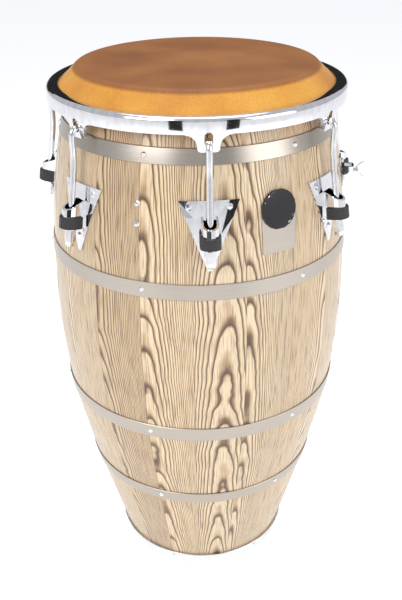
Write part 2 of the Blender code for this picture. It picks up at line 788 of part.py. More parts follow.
def build_lugs():
    """Each lug: a side plate, guard, washer, nut and hook, carried by one turned empty."""
    side_plate = side_plate_mesh()
    guard = guard_mesh()
    washer = washer_mesh()
    nut = nut_mesh()
    hook = swept("hook", hook_path(), ROD_RADIUS)
    for k in range(LUG_COUNT):
        number = k + 1
        lug = station_empty(f"lug_{number}", k * LUG_PITCH)
        place(f"side_plate_{number}", side_plate, CHROME, lug)
        place(f"bracket_guard_{number}", guard, RUBBER, lug, AXIS_ORIGIN, AXIS_TURN)
        place(f"tuning_washer_{number}", washer, CHROME, lug, AXIS_ORIGIN, AXIS_TURN)
        nut_place = AXIS_FRAME @ Vector((0, 0, NUT_TOP))
        place(f"tuning_nut_{number}", nut, CHROME, lug, nut_place, AXIS_TURN)
        place(f"tuning_hook_{number}", hook, CHROME, lug, AXIS_ORIGIN)


# Shell, bands and base ring
ACCESSORY_HEIGHT = HEIGHT - ACCESSORY_DROP
ACCESSORY_AZIMUTH = ACCESSORY_PITCHES * LUG_PITCH
SPARE_AZIMUTH = SPARE_PITCHES * LUG_PITCH
PAIR_HEIGHTS = {
    "upper": ACCESSORY_HEIGHT + ACCESSORY_BOLT_SPREAD / 2,
    "lower": ACCESSORY_HEIGHT - ACCESSORY_BOLT_SPREAD / 2,
}


def build_shell():
    """The stave shell, open at both ends, with its edge rounded under the hide and its holes."""
    wall_heights = spread(SHELL_BOTTOM, EDGE_HEIGHT, SHELL_ROWS)
    outline = [(shell_radius(height), height) for height in wall_heights]
    outline += arc(EDGE_CENTRE, EDGE_ROUND, TANGENT / 2, math.pi / 2, 3)
    outline += [(MOUTH_RADIUS - SHELL_WALL, SHELL_TOP)]
    outline += [(shell_radius(height) - SHELL_WALL, height) for height in reversed(wall_heights)]
    shell = place("shell", turned("shell", outline), ASH)
    holes = []
    for k in range(LUG_COUNT):
        holes += [hole_mesh(k * LUG_PITCH + azimuth, height) for azimuth, height in PLATE_BOLTS]
    for azimuth in (ACCESSORY_AZIMUTH, SPARE_AZIMUTH):
        holes += [hole_mesh(azimuth, height) for height in PAIR_HEIGHTS.values()]
    combine(shell, tool("bolt_holes", joined("bolt_holes", holes)), "DIFFERENCE")


def build_band(name, top, width):
    """A steel band drawn tight round the shell."""
    heights = spread(top - width, top, 2)
    outline = [(shell_radius(height) + GAP + BAND_THICKNESS, height) for height in heights]
    outline += [(shell_radius(height) + GAP, height) for height in reversed(heights)]
    place(name, turned(name, outline), BAND_STEEL)


def build_base_ring():
    """The ring that the drum stands on: a wall round the foot and a floor under its end grain."""
    inner = FOOT_RADIUS - SHELL_WALL - RING_LEDGE
    outline = [
        (inner, 0),
        (shell_radius(0) + GAP + RING_WALL * 0.75, 0),
        (shell_radius(RING_FLOOR / 2) + GAP + RING_WALL, RING_FLOOR / 2),
        (shell_radius(RING_HEIGHT) + GAP + RING_WALL, RING_HEIGHT),
        (shell_radius(RING_HEIGHT) + GAP, RING_HEIGHT),
        (shell_radius(RING_FLOOR) + GAP, RING_FLOOR),
        (inner, RING_FLOOR),
    ]
    place("base_ring", turned("base_ring", outline), RING_METAL)


# Accessory bracket, in a frame on its own azimuth: X across, Y towards the axis
CHANNEL_LOW = ACCESSORY_HEIGHT - CHANNEL_HEIGHT / 2
CHANNEL_HIGH = ACCESSORY_HEIGHT + CHANNEL_HEIGHT / 2
ACCESSORY_FACE = GAP + ACCESSORY_PLATE_THICKNESS
SEAT_RADIUS = shell_radius(CHANNEL_LOW) + ACCESSORY_FACE + SEAT_RISE
PAD_FACE_RADIUS = SEAT_RADIUS + CLAMP_ROD + CLAMP_SLACK
CHANNEL_INSIDE = PAD_FACE_RADIUS + PAD_THICKNESS + GAP
CHANNEL_OUTSIDE = CHANNEL_INSIDE + CHANNEL_WALL
HUB_FACE = CHANNEL_OUTSIDE + WING_TRAVEL


def accessory_mesh():
    """A curved foot plate, a square-fronted channel on it and a flat seat for the rod."""
    face = shell_radius(ACCESSORY_HEIGHT) + GAP
    half = ACCESSORY_PLATE_LENGTH / 2
    plate = wrapped(
        "foot",
        spread(ACCESSORY_HEIGHT - half, ACCESSORY_HEIGHT + half, 4),
        lambda height: ACCESSORY_PLATE_WIDTH / 2,
        lambda height: shell_radius(height) + GAP,
        lambda height: shell_radius(height) + ACCESSORY_FACE,
        4,
    )
    piece = place("accessory_bracket", plate, CHROME)
    inner = CHANNEL_INNER_WIDTH / 2
    outer = inner + CHANNEL_WALL
    # The channel's legs sink halfway into the foot plate at its narrower, upper end
    root = shell_radius(CHANNEL_LOW) + GAP + ACCESSORY_PLATE_THICKNESS / 2
    channel = rounded([
        (outer, -root, 0),
        (outer, -CHANNEL_OUTSIDE, CHANNEL_CORNER + CHANNEL_WALL),
        (-outer, -CHANNEL_OUTSIDE, CHANNEL_CORNER + CHANNEL_WALL),
        (-outer, -root, 0),
        (-inner, -root, 0),
        (-inner, -CHANNEL_INSIDE, CHANNEL_CORNER),
        (inner, -CHANNEL_INSIDE, CHANNEL_CORNER),
        (inner, -root, 0),
    ])
    bore = WING_BOLT_RADIUS + WING_BOLT_CLEARANCE
    outward = Matrix.Translation((0, 0, ACCESSORY_HEIGHT)) @ Matrix.Rotation(math.pi / 2, 4, "X")
    bore_outline = [(0, CHANNEL_INSIDE / 2 + face / 2), (bore, CHANNEL_INSIDE / 2 + face / 2),
                    (bore, CHANNEL_OUTSIDE + CHANNEL_WALL), (0, CHANNEL_OUTSIDE + CHANNEL_WALL)]
    seat_outline = [(inner + GAP, -SEAT_RADIUS), (-inner - GAP, -SEAT_RADIUS), (-inner - GAP, -root), (inner + GAP, -root)]
    feet = [
        extruded("leg_root", [(x * outer, -face - ACCESSORY_PLATE_THICKNESS / 4), (x * outer, -root - GAP),
                              (x * inner, -root - GAP), (x * inner, -face - ACCESSORY_PLATE_THICKNESS / 4)],
                 ACCESSORY_HEIGHT, CHANNEL_HIGH)
        for x in (1, -1)
    ]
    seat = extruded("seat", seat_outline, CHANNEL_LOW, CHANNEL_HIGH)
    helpers = [
        (tool("channel", extruded("channel", channel, CHANNEL_LOW, CHANNEL_HIGH)), "UNION"),
        (tool("seat", seat), "UNION"),
        (tool("leg_roots", joined("leg_roots", feet)), "UNION"),
        (tool("wing_bore", turned("wing_bore", bore_outline, facets=12, frame=outward)), "DIFFERENCE"),
    ]
    return piece, helpers


def build_accessory():
    """The bracket with its two bolts, and the pad and wing bolt that slide and turn in it."""
    piece, helpers = accessory_mesh()
    holes = [hole_mesh(0.0, height) for height in PAIR_HEIGHTS.values()]
    helpers.append((tool("foot_holes", joined("foot_holes", holes)), "DIFFERENCE"))
    for helper, operation in helpers:
        combine(piece, helper, operation)
    mesh = baked(piece)
    for helper, _ in helpers:
        bpy.data.objects.remove(helper, do_unlink=True)
    station = station_empty("accessory_station", ACCESSORY_AZIMUTH)
    place("accessory_bracket", mesh, CHROME, station)
    for label, height in PAIR_HEIGHTS.items():
        bolt = bolt_mesh("bracket_bolt", 0.0, height, ACCESSORY_FACE + GAP)
        place(f"bracket_bolt_{label}", bolt, CHROME, station)
    outward = (math.pi / 2, 0, 0)
    centre = (0, 0, ACCESSORY_HEIGHT)
    pad_back = PAD_FACE_RADIUS + PAD_THICKNESS
    pad_outline = [(0, 0), (PAD_RADIUS, 0), (PAD_RADIUS, PAD_THICKNESS), (0, PAD_THICKNESS)]
    place("clamp_pad", turned("clamp_pad", pad_outline, facets=14), CHROME, station,
          (0, -PAD_FACE_RADIUS, centre[2]), outward)
    place("wing_bolt", wing_bolt_mesh(HUB_FACE - pad_back), CHROME, station, (0, -pad_back, centre[2]), outward)


def wing_bolt_mesh(stem):
    """A short stem, a round hub and two wings that open outwards."""
    clear = GAP / 3
    hub_top = stem + WING_HUB_LENGTH
    outline = [
        (0, clear),
        (WING_BOLT_RADIUS, clear),
        (WING_BOLT_RADIUS, stem),
        (WING_HUB_RADIUS, stem),
        (WING_HUB_RADIUS, hub_top - WING_HUB_LENGTH / 3),
        (WING_HUB_RADIUS * 0.7, hub_top),
        (0, hub_top),
    ]
    hub = place("wing_hub", turned("wing_hub", outline, facets=12), CHROME)
    half = WING_SPAN / 2
    tip = stem + WING_REACH
    wing = rounded([
        (0.0, stem + WING_HUB_LENGTH * 0.35, 0),
        (half * 0.42, stem + WING_HUB_LENGTH * 0.35, 0.0015),
        (half, tip - WING_SPAN * 0.16, 0.003),
        (half * 0.84, tip, 0.0025),
        (half * 0.3, tip - WING_REACH * 0.55, 0.0018),
        (0.0, tip - WING_REACH * 0.62, 0),
        (-half * 0.3, tip - WING_REACH * 0.55, 0.0018),
        (-half * 0.84, tip, 0.0025),
        (-half, tip - WING_SPAN * 0.16, 0.003),
        (-half * 0.42, stem + WING_HUB_LENGTH * 0.35, 0.0015),
    ], steps=2)
    turn = Matrix.Rotation(WING_TURN, 4, "Z") @ Matrix.Rotation(math.pi / 2, 4, "X")
    helper = tool("wings", extruded("wings", wing, -WING_THICKNESS / 2, WING_THICKNESS / 2, turn))
    combine(hub, helper, "UNION")
    mesh = baked(hub)
    bpy.data.objects.remove(helper, do_unlink=True)
    return mesh


def build_spares():
    """The two bolts that keep a second bracket's holes closed."""
    station = station_empty("spare_station", SPARE_AZIMUTH)
    for label, height in PAIR_HEIGHTS.items():
        place(f"spare_bolt_{label}", bolt_mesh("spare_bolt", 0.0, height, GAP), CHROME, station)


# Badge
BADGE_HEIGHT = HEIGHT - BADGE_DROP
BADGE_FACE = GAP + BADGE_PLATE_THICKNESS


def badge_half_width(height):
    """Half the badge plate's width: square below the disc's centre, round above it."""
    rise = height - BADGE_HEIGHT
    half = BADGE_PLATE_WIDTH / 2
    if rise <= 0:
        return half
    return math.sqrt(max(half ** 2 - rise ** 2, (half / 4) ** 2))


def disc_half_width(height):
    """Half the badge disc's width at a height."""
    rise = abs(height - BADGE_HEIGHT)
    return math.sqrt(max(BADGE_DISC_RADIUS ** 2 - rise ** 2, (BADGE_DISC_RADIUS / 4) ** 2))


def build_badge():
    """A bare badge: a metal plate bent to the shell, and a plain disc on it."""
    azimuth = BADGE_PITCHES * LUG_PITCH
    station = station_empty("badge_station", azimuth)
    half = BADGE_PLATE_WIDTH / 2
    heights = spread(BADGE_HEIGHT - BADGE_PLATE_TAIL, BADGE_HEIGHT, 5)
    heights += [BADGE_HEIGHT + half * math.sin(math.radians(angle)) for angle in (22, 44, 62, 75)]
    plate = wrapped(
        "badge_plate",
        heights,
        badge_half_width,
        lambda height: shell_radius(height) + GAP,
        lambda height: shell_radius(height) + BADGE_FACE,
        6,
    )
    place("badge_plate", plate, BAND_STEEL, station)
    turns = spread(math.radians(-75), math.radians(75), 9)
    disc = wrapped(
        "badge_disc",
        [BADGE_HEIGHT + BADGE_DISC_RADIUS * math.sin(turn) for turn in turns],
        disc_half_width,
        lambda height: shell_radius(height) + BADGE_FACE + GAP,
        lambda height: shell_radius(height) + BADGE_FACE + GAP + BADGE_DISC_THICKNESS,
        6,
    )
    place("badge_disc", disc, ENAMEL, station)


build_shell()
build_band("band_top", HEIGHT - TOP_BAND_DROP, TOP_BAND_WIDTH)
build_band("band_upper", HEIGHT - UPPER_BAND_DROP, UPPER_BAND_WIDTH)
build_band("band_lower", LOWER_BAND_HEIGHT, LOWER_BAND_WIDTH)
build_band("band_bottom", BOTTOM_BAND_HEIGHT, BOTTOM_BAND_WIDTH)
build_base_ring()
build_head()
build_rim()
build_lugs()
build_accessory()
build_spares()
build_badge()
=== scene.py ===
# %% [markdown]
# # A tumba
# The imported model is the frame. Every piece made here sits exactly where its node is, and rides
# on the same body, so the drum can still be tuned and the rod clamp still turns.

# %% Load the frame
import json
import math

import bmesh
import bpy
from mathutils import Matrix, Vector


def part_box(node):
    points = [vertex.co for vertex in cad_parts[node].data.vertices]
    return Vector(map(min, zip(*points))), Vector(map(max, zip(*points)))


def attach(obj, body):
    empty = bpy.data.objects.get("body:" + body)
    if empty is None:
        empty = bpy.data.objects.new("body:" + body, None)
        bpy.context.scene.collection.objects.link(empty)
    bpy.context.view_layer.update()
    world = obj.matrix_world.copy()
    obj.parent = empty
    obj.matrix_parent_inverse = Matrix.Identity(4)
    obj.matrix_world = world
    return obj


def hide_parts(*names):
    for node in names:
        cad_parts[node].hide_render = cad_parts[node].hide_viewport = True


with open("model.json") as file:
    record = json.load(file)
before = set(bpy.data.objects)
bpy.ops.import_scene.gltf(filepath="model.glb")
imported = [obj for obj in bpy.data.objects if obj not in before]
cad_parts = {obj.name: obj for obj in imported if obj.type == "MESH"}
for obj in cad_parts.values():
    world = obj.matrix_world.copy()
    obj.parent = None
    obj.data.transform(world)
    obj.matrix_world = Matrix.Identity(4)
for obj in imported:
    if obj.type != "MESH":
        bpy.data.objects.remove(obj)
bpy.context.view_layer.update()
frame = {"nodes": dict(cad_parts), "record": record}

# %% [markdown]
# The camera is a real one, so it is set by where it stands, how it tilts and how long its lens
# is. It looks down at the drum from a little over a metre, which makes the foot look small.

# %% Camera
CAMERA_DISTANCE = 1.106
CAMERA_HEIGHT = 0.996
CAMERA_AZIMUTH = math.radians(-3.7)
CAMERA_YAW = math.radians(0.108)
CAMERA_PITCH = math.radians(28.03)
CAMERA_ROLL = math.radians(-0.670)
FOCAL_PIXELS = 835
PICTURE_HEIGHT = 600
SENSOR = 36

forward = Vector((
    math.sin(CAMERA_YAW) * math.cos(CAMERA_PITCH),
    math.cos(CAMERA_YAW) * math.cos(CAMERA_PITCH),
    -math.sin(CAMERA_PITCH),
))
level = Vector((math.cos(CAMERA_YAW), -math.sin(CAMERA_YAW), 0))
above = level.cross(forward)
right = math.cos(CAMERA_ROLL) * level + math.sin(CAMERA_ROLL) * above
upward = -math.sin(CAMERA_ROLL) * level + math.cos(CAMERA_ROLL) * above
pose = Matrix((right, upward, -forward)).transposed().to_4x4()
pose.translation = Vector((0, -CAMERA_DISTANCE, CAMERA_HEIGHT))

camera_data = bpy.data.cameras.new("camera")
camera_data.sensor_fit = "VERTICAL"
camera_data.sensor_height = SENSOR
camera_data.lens = FOCAL_PIXELS * SENSOR / PICTURE_HEIGHT
camera = bpy.data.objects.new("camera", camera_data)
camera.matrix_world = Matrix.Rotation(CAMERA_AZIMUTH, 4, "Z") @ pose
bpy.context.scene.collection.objects.link(camera)
bpy.context.scene.camera = camera
print("lens:", round(camera_data.lens, 2), "mm")

# %% [markdown]
# Materials are small node trees. A few helpers keep them short: one makes a node, one does a
# piece of arithmetic and one maps a value to colours.

# %% Material helpers
def new_material(name, roughness, metallic=0.0):
    """A Principled material and the parts needed to add to it."""
    finish = bpy.data.materials.new(name)
    finish.use_nodes = True
    shader = finish.node_tree.nodes["Principled BSDF"]
    shader.inputs["Roughness"].default_value = roughness
    shader.inputs["Metallic"].default_value = metallic
    return finish, finish.node_tree, shader


def math_node(tree, operation, first, second=None):
    """One arithmetic step, on sockets or numbers."""
    step = tree.nodes.new("ShaderNodeMath")
    step.operation = operation
    for socket, value in zip(step.inputs, (first, second)):
        if value is None:
            continue
        if isinstance(value, (int, float)):
            socket.default_value = value
        else:
            tree.links.new(value, socket)
    return step.outputs[0]


def vector_node(tree, x, y, z):
    """A vector from three sockets or numbers."""
    step = tree.nodes.new("ShaderNodeCombineXYZ")
    for socket, value in zip(step.inputs, (x, y, z)):
        if isinstance(value, (int, float)):
            socket.default_value = value
        else:
            tree.links.new(value, socket)
    return step.outputs[0]


def noise_node(tree, vector, scale, detail):
    """Smooth noise at a scale."""
    step = tree.nodes.new("ShaderNodeTexNoise")
    step.inputs["Scale"].default_value = scale
    step.inputs["Detail"].default_value = detail
    tree.links.new(vector, step.inputs["Vector"])
    return step.outputs["Fac"]


def ramp_node(tree, value, stops):
    """Colours along a value, from (place, colour) stops."""
    step = tree.nodes.new("ShaderNodeValToRGB")
    ramp = step.color_ramp
    while len(ramp.elements) < len(stops):
        ramp.elements.new(0.5)
    for element, (place_on_ramp, colour) in zip(ramp.elements, stops):
        element.position = place_on_ramp
        element.color = (*colour, 1)
    tree.links.new(value, step.inputs["Fac"])
    return step.outputs["Color"]


def mix_node(tree, share, first, second, blend="MIX"):
    """Two colours mixed by a share."""
    step = tree.nodes.new("ShaderNodeMix")
    step.data_type = "RGBA"
    step.blend_type = blend
    for index, value in ((0, share), (6, first), (7, second)):
        if isinstance(value, tuple):
            step.inputs[index].default_value = (*value, 1)
        elif isinstance(value, (int, float)):
            step.inputs[index].default_value = value
        else:
            tree.links.new(value, step.inputs[index])
    return step.outputs[2]


def bump_node(tree, shader, height, strength, distance):
    """Relief from a value."""
    step = tree.nodes.new("ShaderNodeBump")
    step.inputs["Strength"].default_value = strength
    step.inputs["Distance"].default_value = distance
    tree.links.new(height, step.inputs["Height"])
    tree.links.new(step.outputs["Normal"], shader.inputs["Normal"])


def object_coordinates(tree):
    """The Object coordinate vector and its three parts."""
    source = tree.nodes.new("ShaderNodeTexCoord").outputs["Object"]
    parts = tree.nodes.new("ShaderNodeSeparateXYZ")
    tree.links.new(source, parts.inputs[0])
    return source, parts.outputs


print("material helpers ready")

# %% [markdown]
# The shell is glued up from ash staves, and each stave shows its own board: some with tall
# arches where the saw ran through the growth rings, some with straight lines. The angle round
# the axis says which stave a point is on. Within a stave, the rings are bands of one value that
# rises with height and with the square of the distance from the board's heart, which draws the
# arches. A random number for each stave moves the heart and stretches the arches.

# %% Ash
STAVES = 19
STAVE_PHASE = 0.32
RING_PERIOD = 0.038
RISE_PER_METRE = 0.55
RISE_PER_STAVE = 0.37
HEART_START = -0.15
HEART_RANGE = 1.3
ARCH_LEAST = 0.42
ARCH_RANGE = 0.95
WANDER_WIDTH = 0.06
WANDER_APART = 3.7
WANDER_SCALE = 8.0
WANDER_DEPTH = 0.16
FIBRES_ACROSS = 62.0
FIBRES_ALONG = 16.0
FIBRE_SCALE = 1.6
FIBRE_SHARE = 0.9
JOINT_START = 0.4935
JOINT_SHARE = 0.55
GLUE_LINE = (0.20, 0.10, 0.05)
PALE_ASH = (0.73, 0.585, 0.395)
WARM_ASH = (0.55, 0.39, 0.235)
RING_BROWN = (0.085, 0.046, 0.026)
RING_TAN = (0.22, 0.135, 0.074)


def ash_material():
    """Stave-wise ash, varnished."""
    finish, tree, shader = new_material("ash_staves", 0.38)
    _, (x, y, z) = object_coordinates(tree)
    angle = math_node(tree, "ARCTAN2", x, math_node(tree, "MULTIPLY", y, -1.0))
    turned_by = math_node(tree, "MULTIPLY", angle, STAVES / math.tau)
    place_round = math_node(tree, "ADD", turned_by, STAVE_PHASE)
    index = math_node(tree, "FLOOR", place_round)
    across = math_node(tree, "SUBTRACT", place_round, index)
    dice = tree.nodes.new("ShaderNodeTexWhiteNoise")
    dice.noise_dimensions = "1D"
    tree.links.new(index, dice.inputs["W"])
    rolls = tree.nodes.new("ShaderNodeSeparateColor")
    tree.links.new(dice.outputs["Color"], rolls.inputs[0])
    heart = math_node(tree, "ADD", math_node(tree, "MULTIPLY", rolls.outputs[0], HEART_RANGE), HEART_START)
    stretch = math_node(tree, "ADD", math_node(tree, "MULTIPLY", rolls.outputs[1], ARCH_RANGE), ARCH_LEAST)
    narrow = math_node(tree, "MULTIPLY", across, WANDER_WIDTH)
    seat = vector_node(tree, narrow, z, math_node(tree, "MULTIPLY", index, WANDER_APART))
    wander = math_node(tree, "MULTIPLY", noise_node(tree, seat, WANDER_SCALE, 3.0), WANDER_DEPTH)
    offset = math_node(tree, "SUBTRACT", across, heart)
    bow = math_node(tree, "MULTIPLY", math_node(tree, "MULTIPLY", offset, offset), stretch)
    shift = math_node(tree, "MULTIPLY", index, RISE_PER_STAVE)
    rise = math_node(tree, "ADD", math_node(tree, "MULTIPLY", z, RISE_PER_METRE), shift)
    value = math_node(tree, "ADD", math_node(tree, "ADD", rise, bow), wander)
    ring = math_node(tree, "FRACT", math_node(tree, "MULTIPLY", value, 1 / RING_PERIOD))
    ring_colour = ramp_node(tree, ring, [
        (0.0, RING_BROWN), (0.14, RING_TAN), (0.28, WARM_ASH),
        (0.46, PALE_ASH), (0.90, PALE_ASH), (1.0, RING_TAN),
    ])
    fine_across = math_node(tree, "MULTIPLY", across, FIBRES_ACROSS)
    fine_along = math_node(tree, "MULTIPLY", z, FIBRES_ALONG)
    fibre_seat = vector_node(tree, fine_across, fine_along, index)
    fibre = noise_node(tree, fibre_seat, FIBRE_SCALE, 6.0)
    fibre_colour = ramp_node(tree, fibre, [
        (0.36, (0.40, 0.31, 0.24)), (0.49, (1, 1, 1)), (0.8, (1.0, 0.99, 0.96)),
    ])
    grained = mix_node(tree, FIBRE_SHARE, ring_colour, fibre_colour, "MULTIPLY")
    tone = ramp_node(tree, rolls.outputs[2], [
        (0.0, (0.86, 0.80, 0.72)), (0.5, (1, 1, 1)), (1.0, (1.06, 1.03, 0.98)),
    ])
    toned = mix_node(tree, 1.0, grained, tone, "MULTIPLY")
    edge = math_node(tree, "ABSOLUTE", math_node(tree, "SUBTRACT", across, 0.5))
    joint = math_node(tree, "GREATER_THAN", edge, JOINT_START)
    final = mix_node(tree, math_node(tree, "MULTIPLY", joint, JOINT_SHARE), toned, GLUE_LINE)
    tree.links.new(final, shader.inputs["Base Color"])
    bump_node(tree, shader, fibre, 0.12, 0.0004)
    shader.inputs["Coat Weight"].default_value = 0.35
    shader.inputs["Coat Roughness"].default_value = 0.12
    return finish


ASH = ash_material()
print("ash:", STAVES, "staves")

# %% [markdown]
# The head is rawhide. It is never even: it has clouds of tan and brown where it dried, and fine
# pores. Over the bearing edge it is stretched thin and looks more yellow.

# %% Hide
BEARING_EDGE = 0.7555
TAN_PER_METRE = 320.0
CLOUD_SCALE = 11.0
PORE_SCALE = 420.0


def hide_material():
    """Rawhide: brown and cloudy on top, yellower on the collar."""
    finish, tree, shader = new_material("rawhide", 0.46)
    source, (_, _, z) = object_coordinates(tree)
    clouds = noise_node(tree, source, CLOUD_SCALE, 6.0)
    pores = noise_node(tree, source, PORE_SCALE, 3.0)
    top = ramp_node(tree, clouds, [
        (0.25, (0.235, 0.078, 0.016)), (0.5, (0.32, 0.118, 0.026)), (0.75, (0.40, 0.165, 0.042)),
    ])
    collar = ramp_node(tree, clouds, [
        (0.25, (0.52, 0.20, 0.022)), (0.5, (0.68, 0.31, 0.042)), (0.75, (0.77, 0.41, 0.075)),
    ])
    share = math_node(tree, "MULTIPLY", math_node(tree, "SUBTRACT", z, BEARING_EDGE), TAN_PER_METRE)
    limited = tree.nodes.new("ShaderNodeClamp")
    tree.links.new(share, limited.inputs[0])
    colour = mix_node(tree, limited.outputs[0], collar, top)
    specks = ramp_node(tree, pores, [(0.35, (0.82, 0.78, 0.74)), (0.55, (1, 1, 1))])
    tree.links.new(mix_node(tree, 0.6, colour, specks, "MULTIPLY"), shader.inputs["Base Color"])
    bump_node(tree, shader, pores, 0.18, 0.0003)
    shader.inputs["Specular IOR Level"].default_value = 0.4
    return finish


HIDE = hide_material()
print("hide ready")

# %% [markdown]
# Plating, brushed bands and rubber. Metal gets its look from what it reflects, so these mostly
# vary the roughness: chrome by faint wiping marks, the bands by fine streaks along their length.

# %% Metals and rubber
DULL_SHARE = 0.86


def metal_material(name, colour, low, high, stretch, scale):
    """A metal whose roughness runs between low and high, in marks stretched along its length."""
    finish, tree, shader = new_material(name, low, 1.0)
    _, (x, y, z) = object_coordinates(tree)
    angle = math_node(tree, "ARCTAN2", x, math_node(tree, "MULTIPLY", y, -1.0))
    seat = vector_node(tree, angle, math_node(tree, "MULTIPLY", z, stretch), 0.0)
    marks = noise_node(tree, seat, scale, 5.0)
    span = tree.nodes.new("ShaderNodeMapRange")
    span.inputs["To Min"].default_value = low
    span.inputs["To Max"].default_value = high
    tree.links.new(marks, span.inputs["Value"])
    tree.links.new(span.outputs[0], shader.inputs["Roughness"])
    dull = tuple(DULL_SHARE * part for part in colour)
    tree.links.new(ramp_node(tree, marks, [(0.3, dull), (0.65, colour)]), shader.inputs["Base Color"])
    bump_node(tree, shader, marks, 0.04, 0.0002)
    return finish


def black_material(name, roughness, scale, detail, shades, strength, distance):
    """A black finish whose shade and relief follow one fine noise."""
    finish, tree, shader = new_material(name, roughness)
    source, _ = object_coordinates(tree)
    skin = noise_node(tree, source, scale, detail)
    dark, light = shades
    tree.links.new(ramp_node(tree, skin, [(0.3, dark), (0.7, light)]), shader.inputs["Base Color"])
    bump_node(tree, shader, skin, strength, distance)
    return finish


CHROME = metal_material(
    "chrome_plate", (0.82, 0.82, 0.84), low=0.03, high=0.09, stretch=3.0, scale=30.0)
BAND_STEEL = metal_material(
    "brushed_nickel", (0.50, 0.45, 0.395), low=0.24, high=0.42, stretch=900.0, scale=3.0)
RING_METAL = metal_material(
    "ring_aluminium", (0.82, 0.83, 0.84), low=0.20, high=0.36, stretch=700.0, scale=3.0)
HOOP_STEEL = metal_material(
    "hoop_steel", (0.45, 0.45, 0.46), low=0.3, high=0.5, stretch=5.0, scale=40.0)
RUBBER = black_material(
    "black_rubber", 0.55, scale=900.0, detail=2.0,
    shades=((0.010, 0.010, 0.011), (0.030, 0.030, 0.031)), strength=0.2, distance=0.0002)
ENAMEL = black_material(
    "black_enamel", 0.16, scale=60.0, detail=1.0,
    shades=((0.006, 0.006, 0.007), (0.010, 0.010, 0.011)), strength=0.02, distance=0.0001)
FINISHES = {
    "ash": ASH, "hide": HIDE, "chrome": CHROME, "band_steel": BAND_STEEL,
    "ring_metal": RING_METAL, "hoop_steel": HOOP_STEEL, "rubber": RUBBER, "enamel": ENAMEL,
}
SLOTS = {entry["node"]: entry["material_slot"] for entry in frame["record"]["subparts"]}
print(len(FINISHES), "finishes")

# %% [markdown]
# The shell's sizes, in metres, are the ones that the frame was built from. The other pieces'
# sizes stand in their own cells. Round pieces are turned again here with many more sides, so that
# the plating has no flats to catch the light.

# %% Sizes of the shell
HEIGHT = 0.762
GAP = 0.0003
LUG_COUNT = 7
FACETS_PER_LUG = 28
SHELL_ROWS = 72
FOOT_RADIUS = 0.1234
LOWER_SHARE = 0.2625
LOWER_RADIUS = 0.1759
FLANK_SHARE = 0.42
FLANK_RADIUS = 0.1989
BELLY_SHARE = 0.5774
BELLY_RADIUS = 0.2067
CHEST_SHARE = 0.735
CHEST_RADIUS = 0.2018
SHOULDER_SHARE = 0.866
SHOULDER_RADIUS = 0.1883
MOUTH_RADIUS = 0.160
SHELL_WALL = 0.011
EDGE_ROUND = 0.008
SKIN_THICKNESS = 0.0022
SHARP_ANGLE = math.radians(35)
FACETS = LUG_COUNT * FACETS_PER_LUG
LUG_PITCH = math.tau / LUG_COUNT
SHELL_TOP = HEIGHT - SKIN_THICKNESS - GAP
EDGE_HEIGHT = SHELL_TOP - EDGE_ROUND
EDGE_CENTRE = (MOUTH_RADIUS - EDGE_ROUND, EDGE_HEIGHT)
STATIONS = [
    (0.0, FOOT_RADIUS),
    (LOWER_SHARE * HEIGHT, LOWER_RADIUS),
    (FLANK_SHARE * HEIGHT, FLANK_RADIUS),
    (BELLY_SHARE * HEIGHT, BELLY_RADIUS),
    (CHEST_SHARE * HEIGHT, CHEST_RADIUS),
    (SHOULDER_SHARE * HEIGHT, SHOULDER_RADIUS),
    (EDGE_HEIGHT, MOUTH_RADIUS),
]
print("facets round the drum:", FACETS)

# %% [markdown]
# The shell's outline is one smooth curve through a few measured stations. A spline through
# them could swing past a station, so each slope is kept small enough that it never does.

# %% Outline of the shell
def station_slopes():
    """The slope of the shell's outline at each station, with no overshoot between stations."""
    slopes = []
    chords = []
    for (low, low_radius), (high, high_radius) in zip(STATIONS, STATIONS[1:]):
        chords.append((high_radius - low_radius) / (high - low))
    slopes.append(chords[0])
    for before, after in zip(chords, chords[1:]):
        if before * after <= 0:
            slopes.append(0.0)
        else:
            slopes.append(2 * before * after / (before + after))
    slopes.append(chords[-1])
    return slopes


SLOPES = station_slopes()


def shell_radius(height):
    """The shell's outer radius at a height, on one smooth curve through the stations."""
    index = 0
    while index < len(STATIONS) - 2 and height > STATIONS[index + 1][0]:
        index += 1
    low, low_radius = STATIONS[index]
    high, high_radius = STATIONS[index + 1]
    span = high - low
    t = (height - low) / span
    return (
        low_radius * (1 + 2 * t) * (1 - t) ** 2
        + high_radius * t * t * (3 - 2 * t)
        + span * SLOPES[index] * t * (1 - t) ** 2
        - span * SLOPES[index + 1] * t * t * (1 - t)
    )


def around(radius, azimuth, height):
    """A point at a radius and azimuth about the drum's axis."""
    return Vector((radius * math.sin(azimuth), -radius * math.cos(azimuth), height))


def spread(low, high, count):
    """Evenly spaced values from low to high."""
    return [low + (high - low) * k / (count - 1) for k in range(count)]


def arc(centre, radius, start, end, steps):
    """Points of an arc in the (radius, height) plane, both ends included."""
    return [
        (centre[0] + radius * math.cos(turn), centre[1] + radius * math.sin(turn))
        for turn in spread(start, end, steps + 1)
    ]


def circle_points(centre, radius, turns):
    """Points of a circle at the given angles."""
    return [(centre[0] + radius * math.cos(turn), centre[1] + radius * math.sin(turn)) for turn in turns]


print("widest:", round(max(shell_radius(h) for h in spread(0, HEIGHT, 200)), 4), "m")

# %% [markdown]
# The round pieces are turned, as on a lathe: an outline is drawn once and copied round the axis.
# A Screw modifier could do it too, but made this way each face is known to close.

# %% Turning, and placing a piece
ON_AXIS = 1e-7


def finish_mesh(name, bm):
    """Turns bmesh geometry into a mesh whose faces point out, smooth but for its edges."""
    bmesh.ops.recalc_face_normals(bm, faces=bm.faces)
    mesh = bpy.data.meshes.new(name)
    bm.to_mesh(mesh)
    bm.free()
    mesh.shade_smooth()
    mesh.set_sharp_from_angle(angle=SHARP_ANGLE)
    return mesh


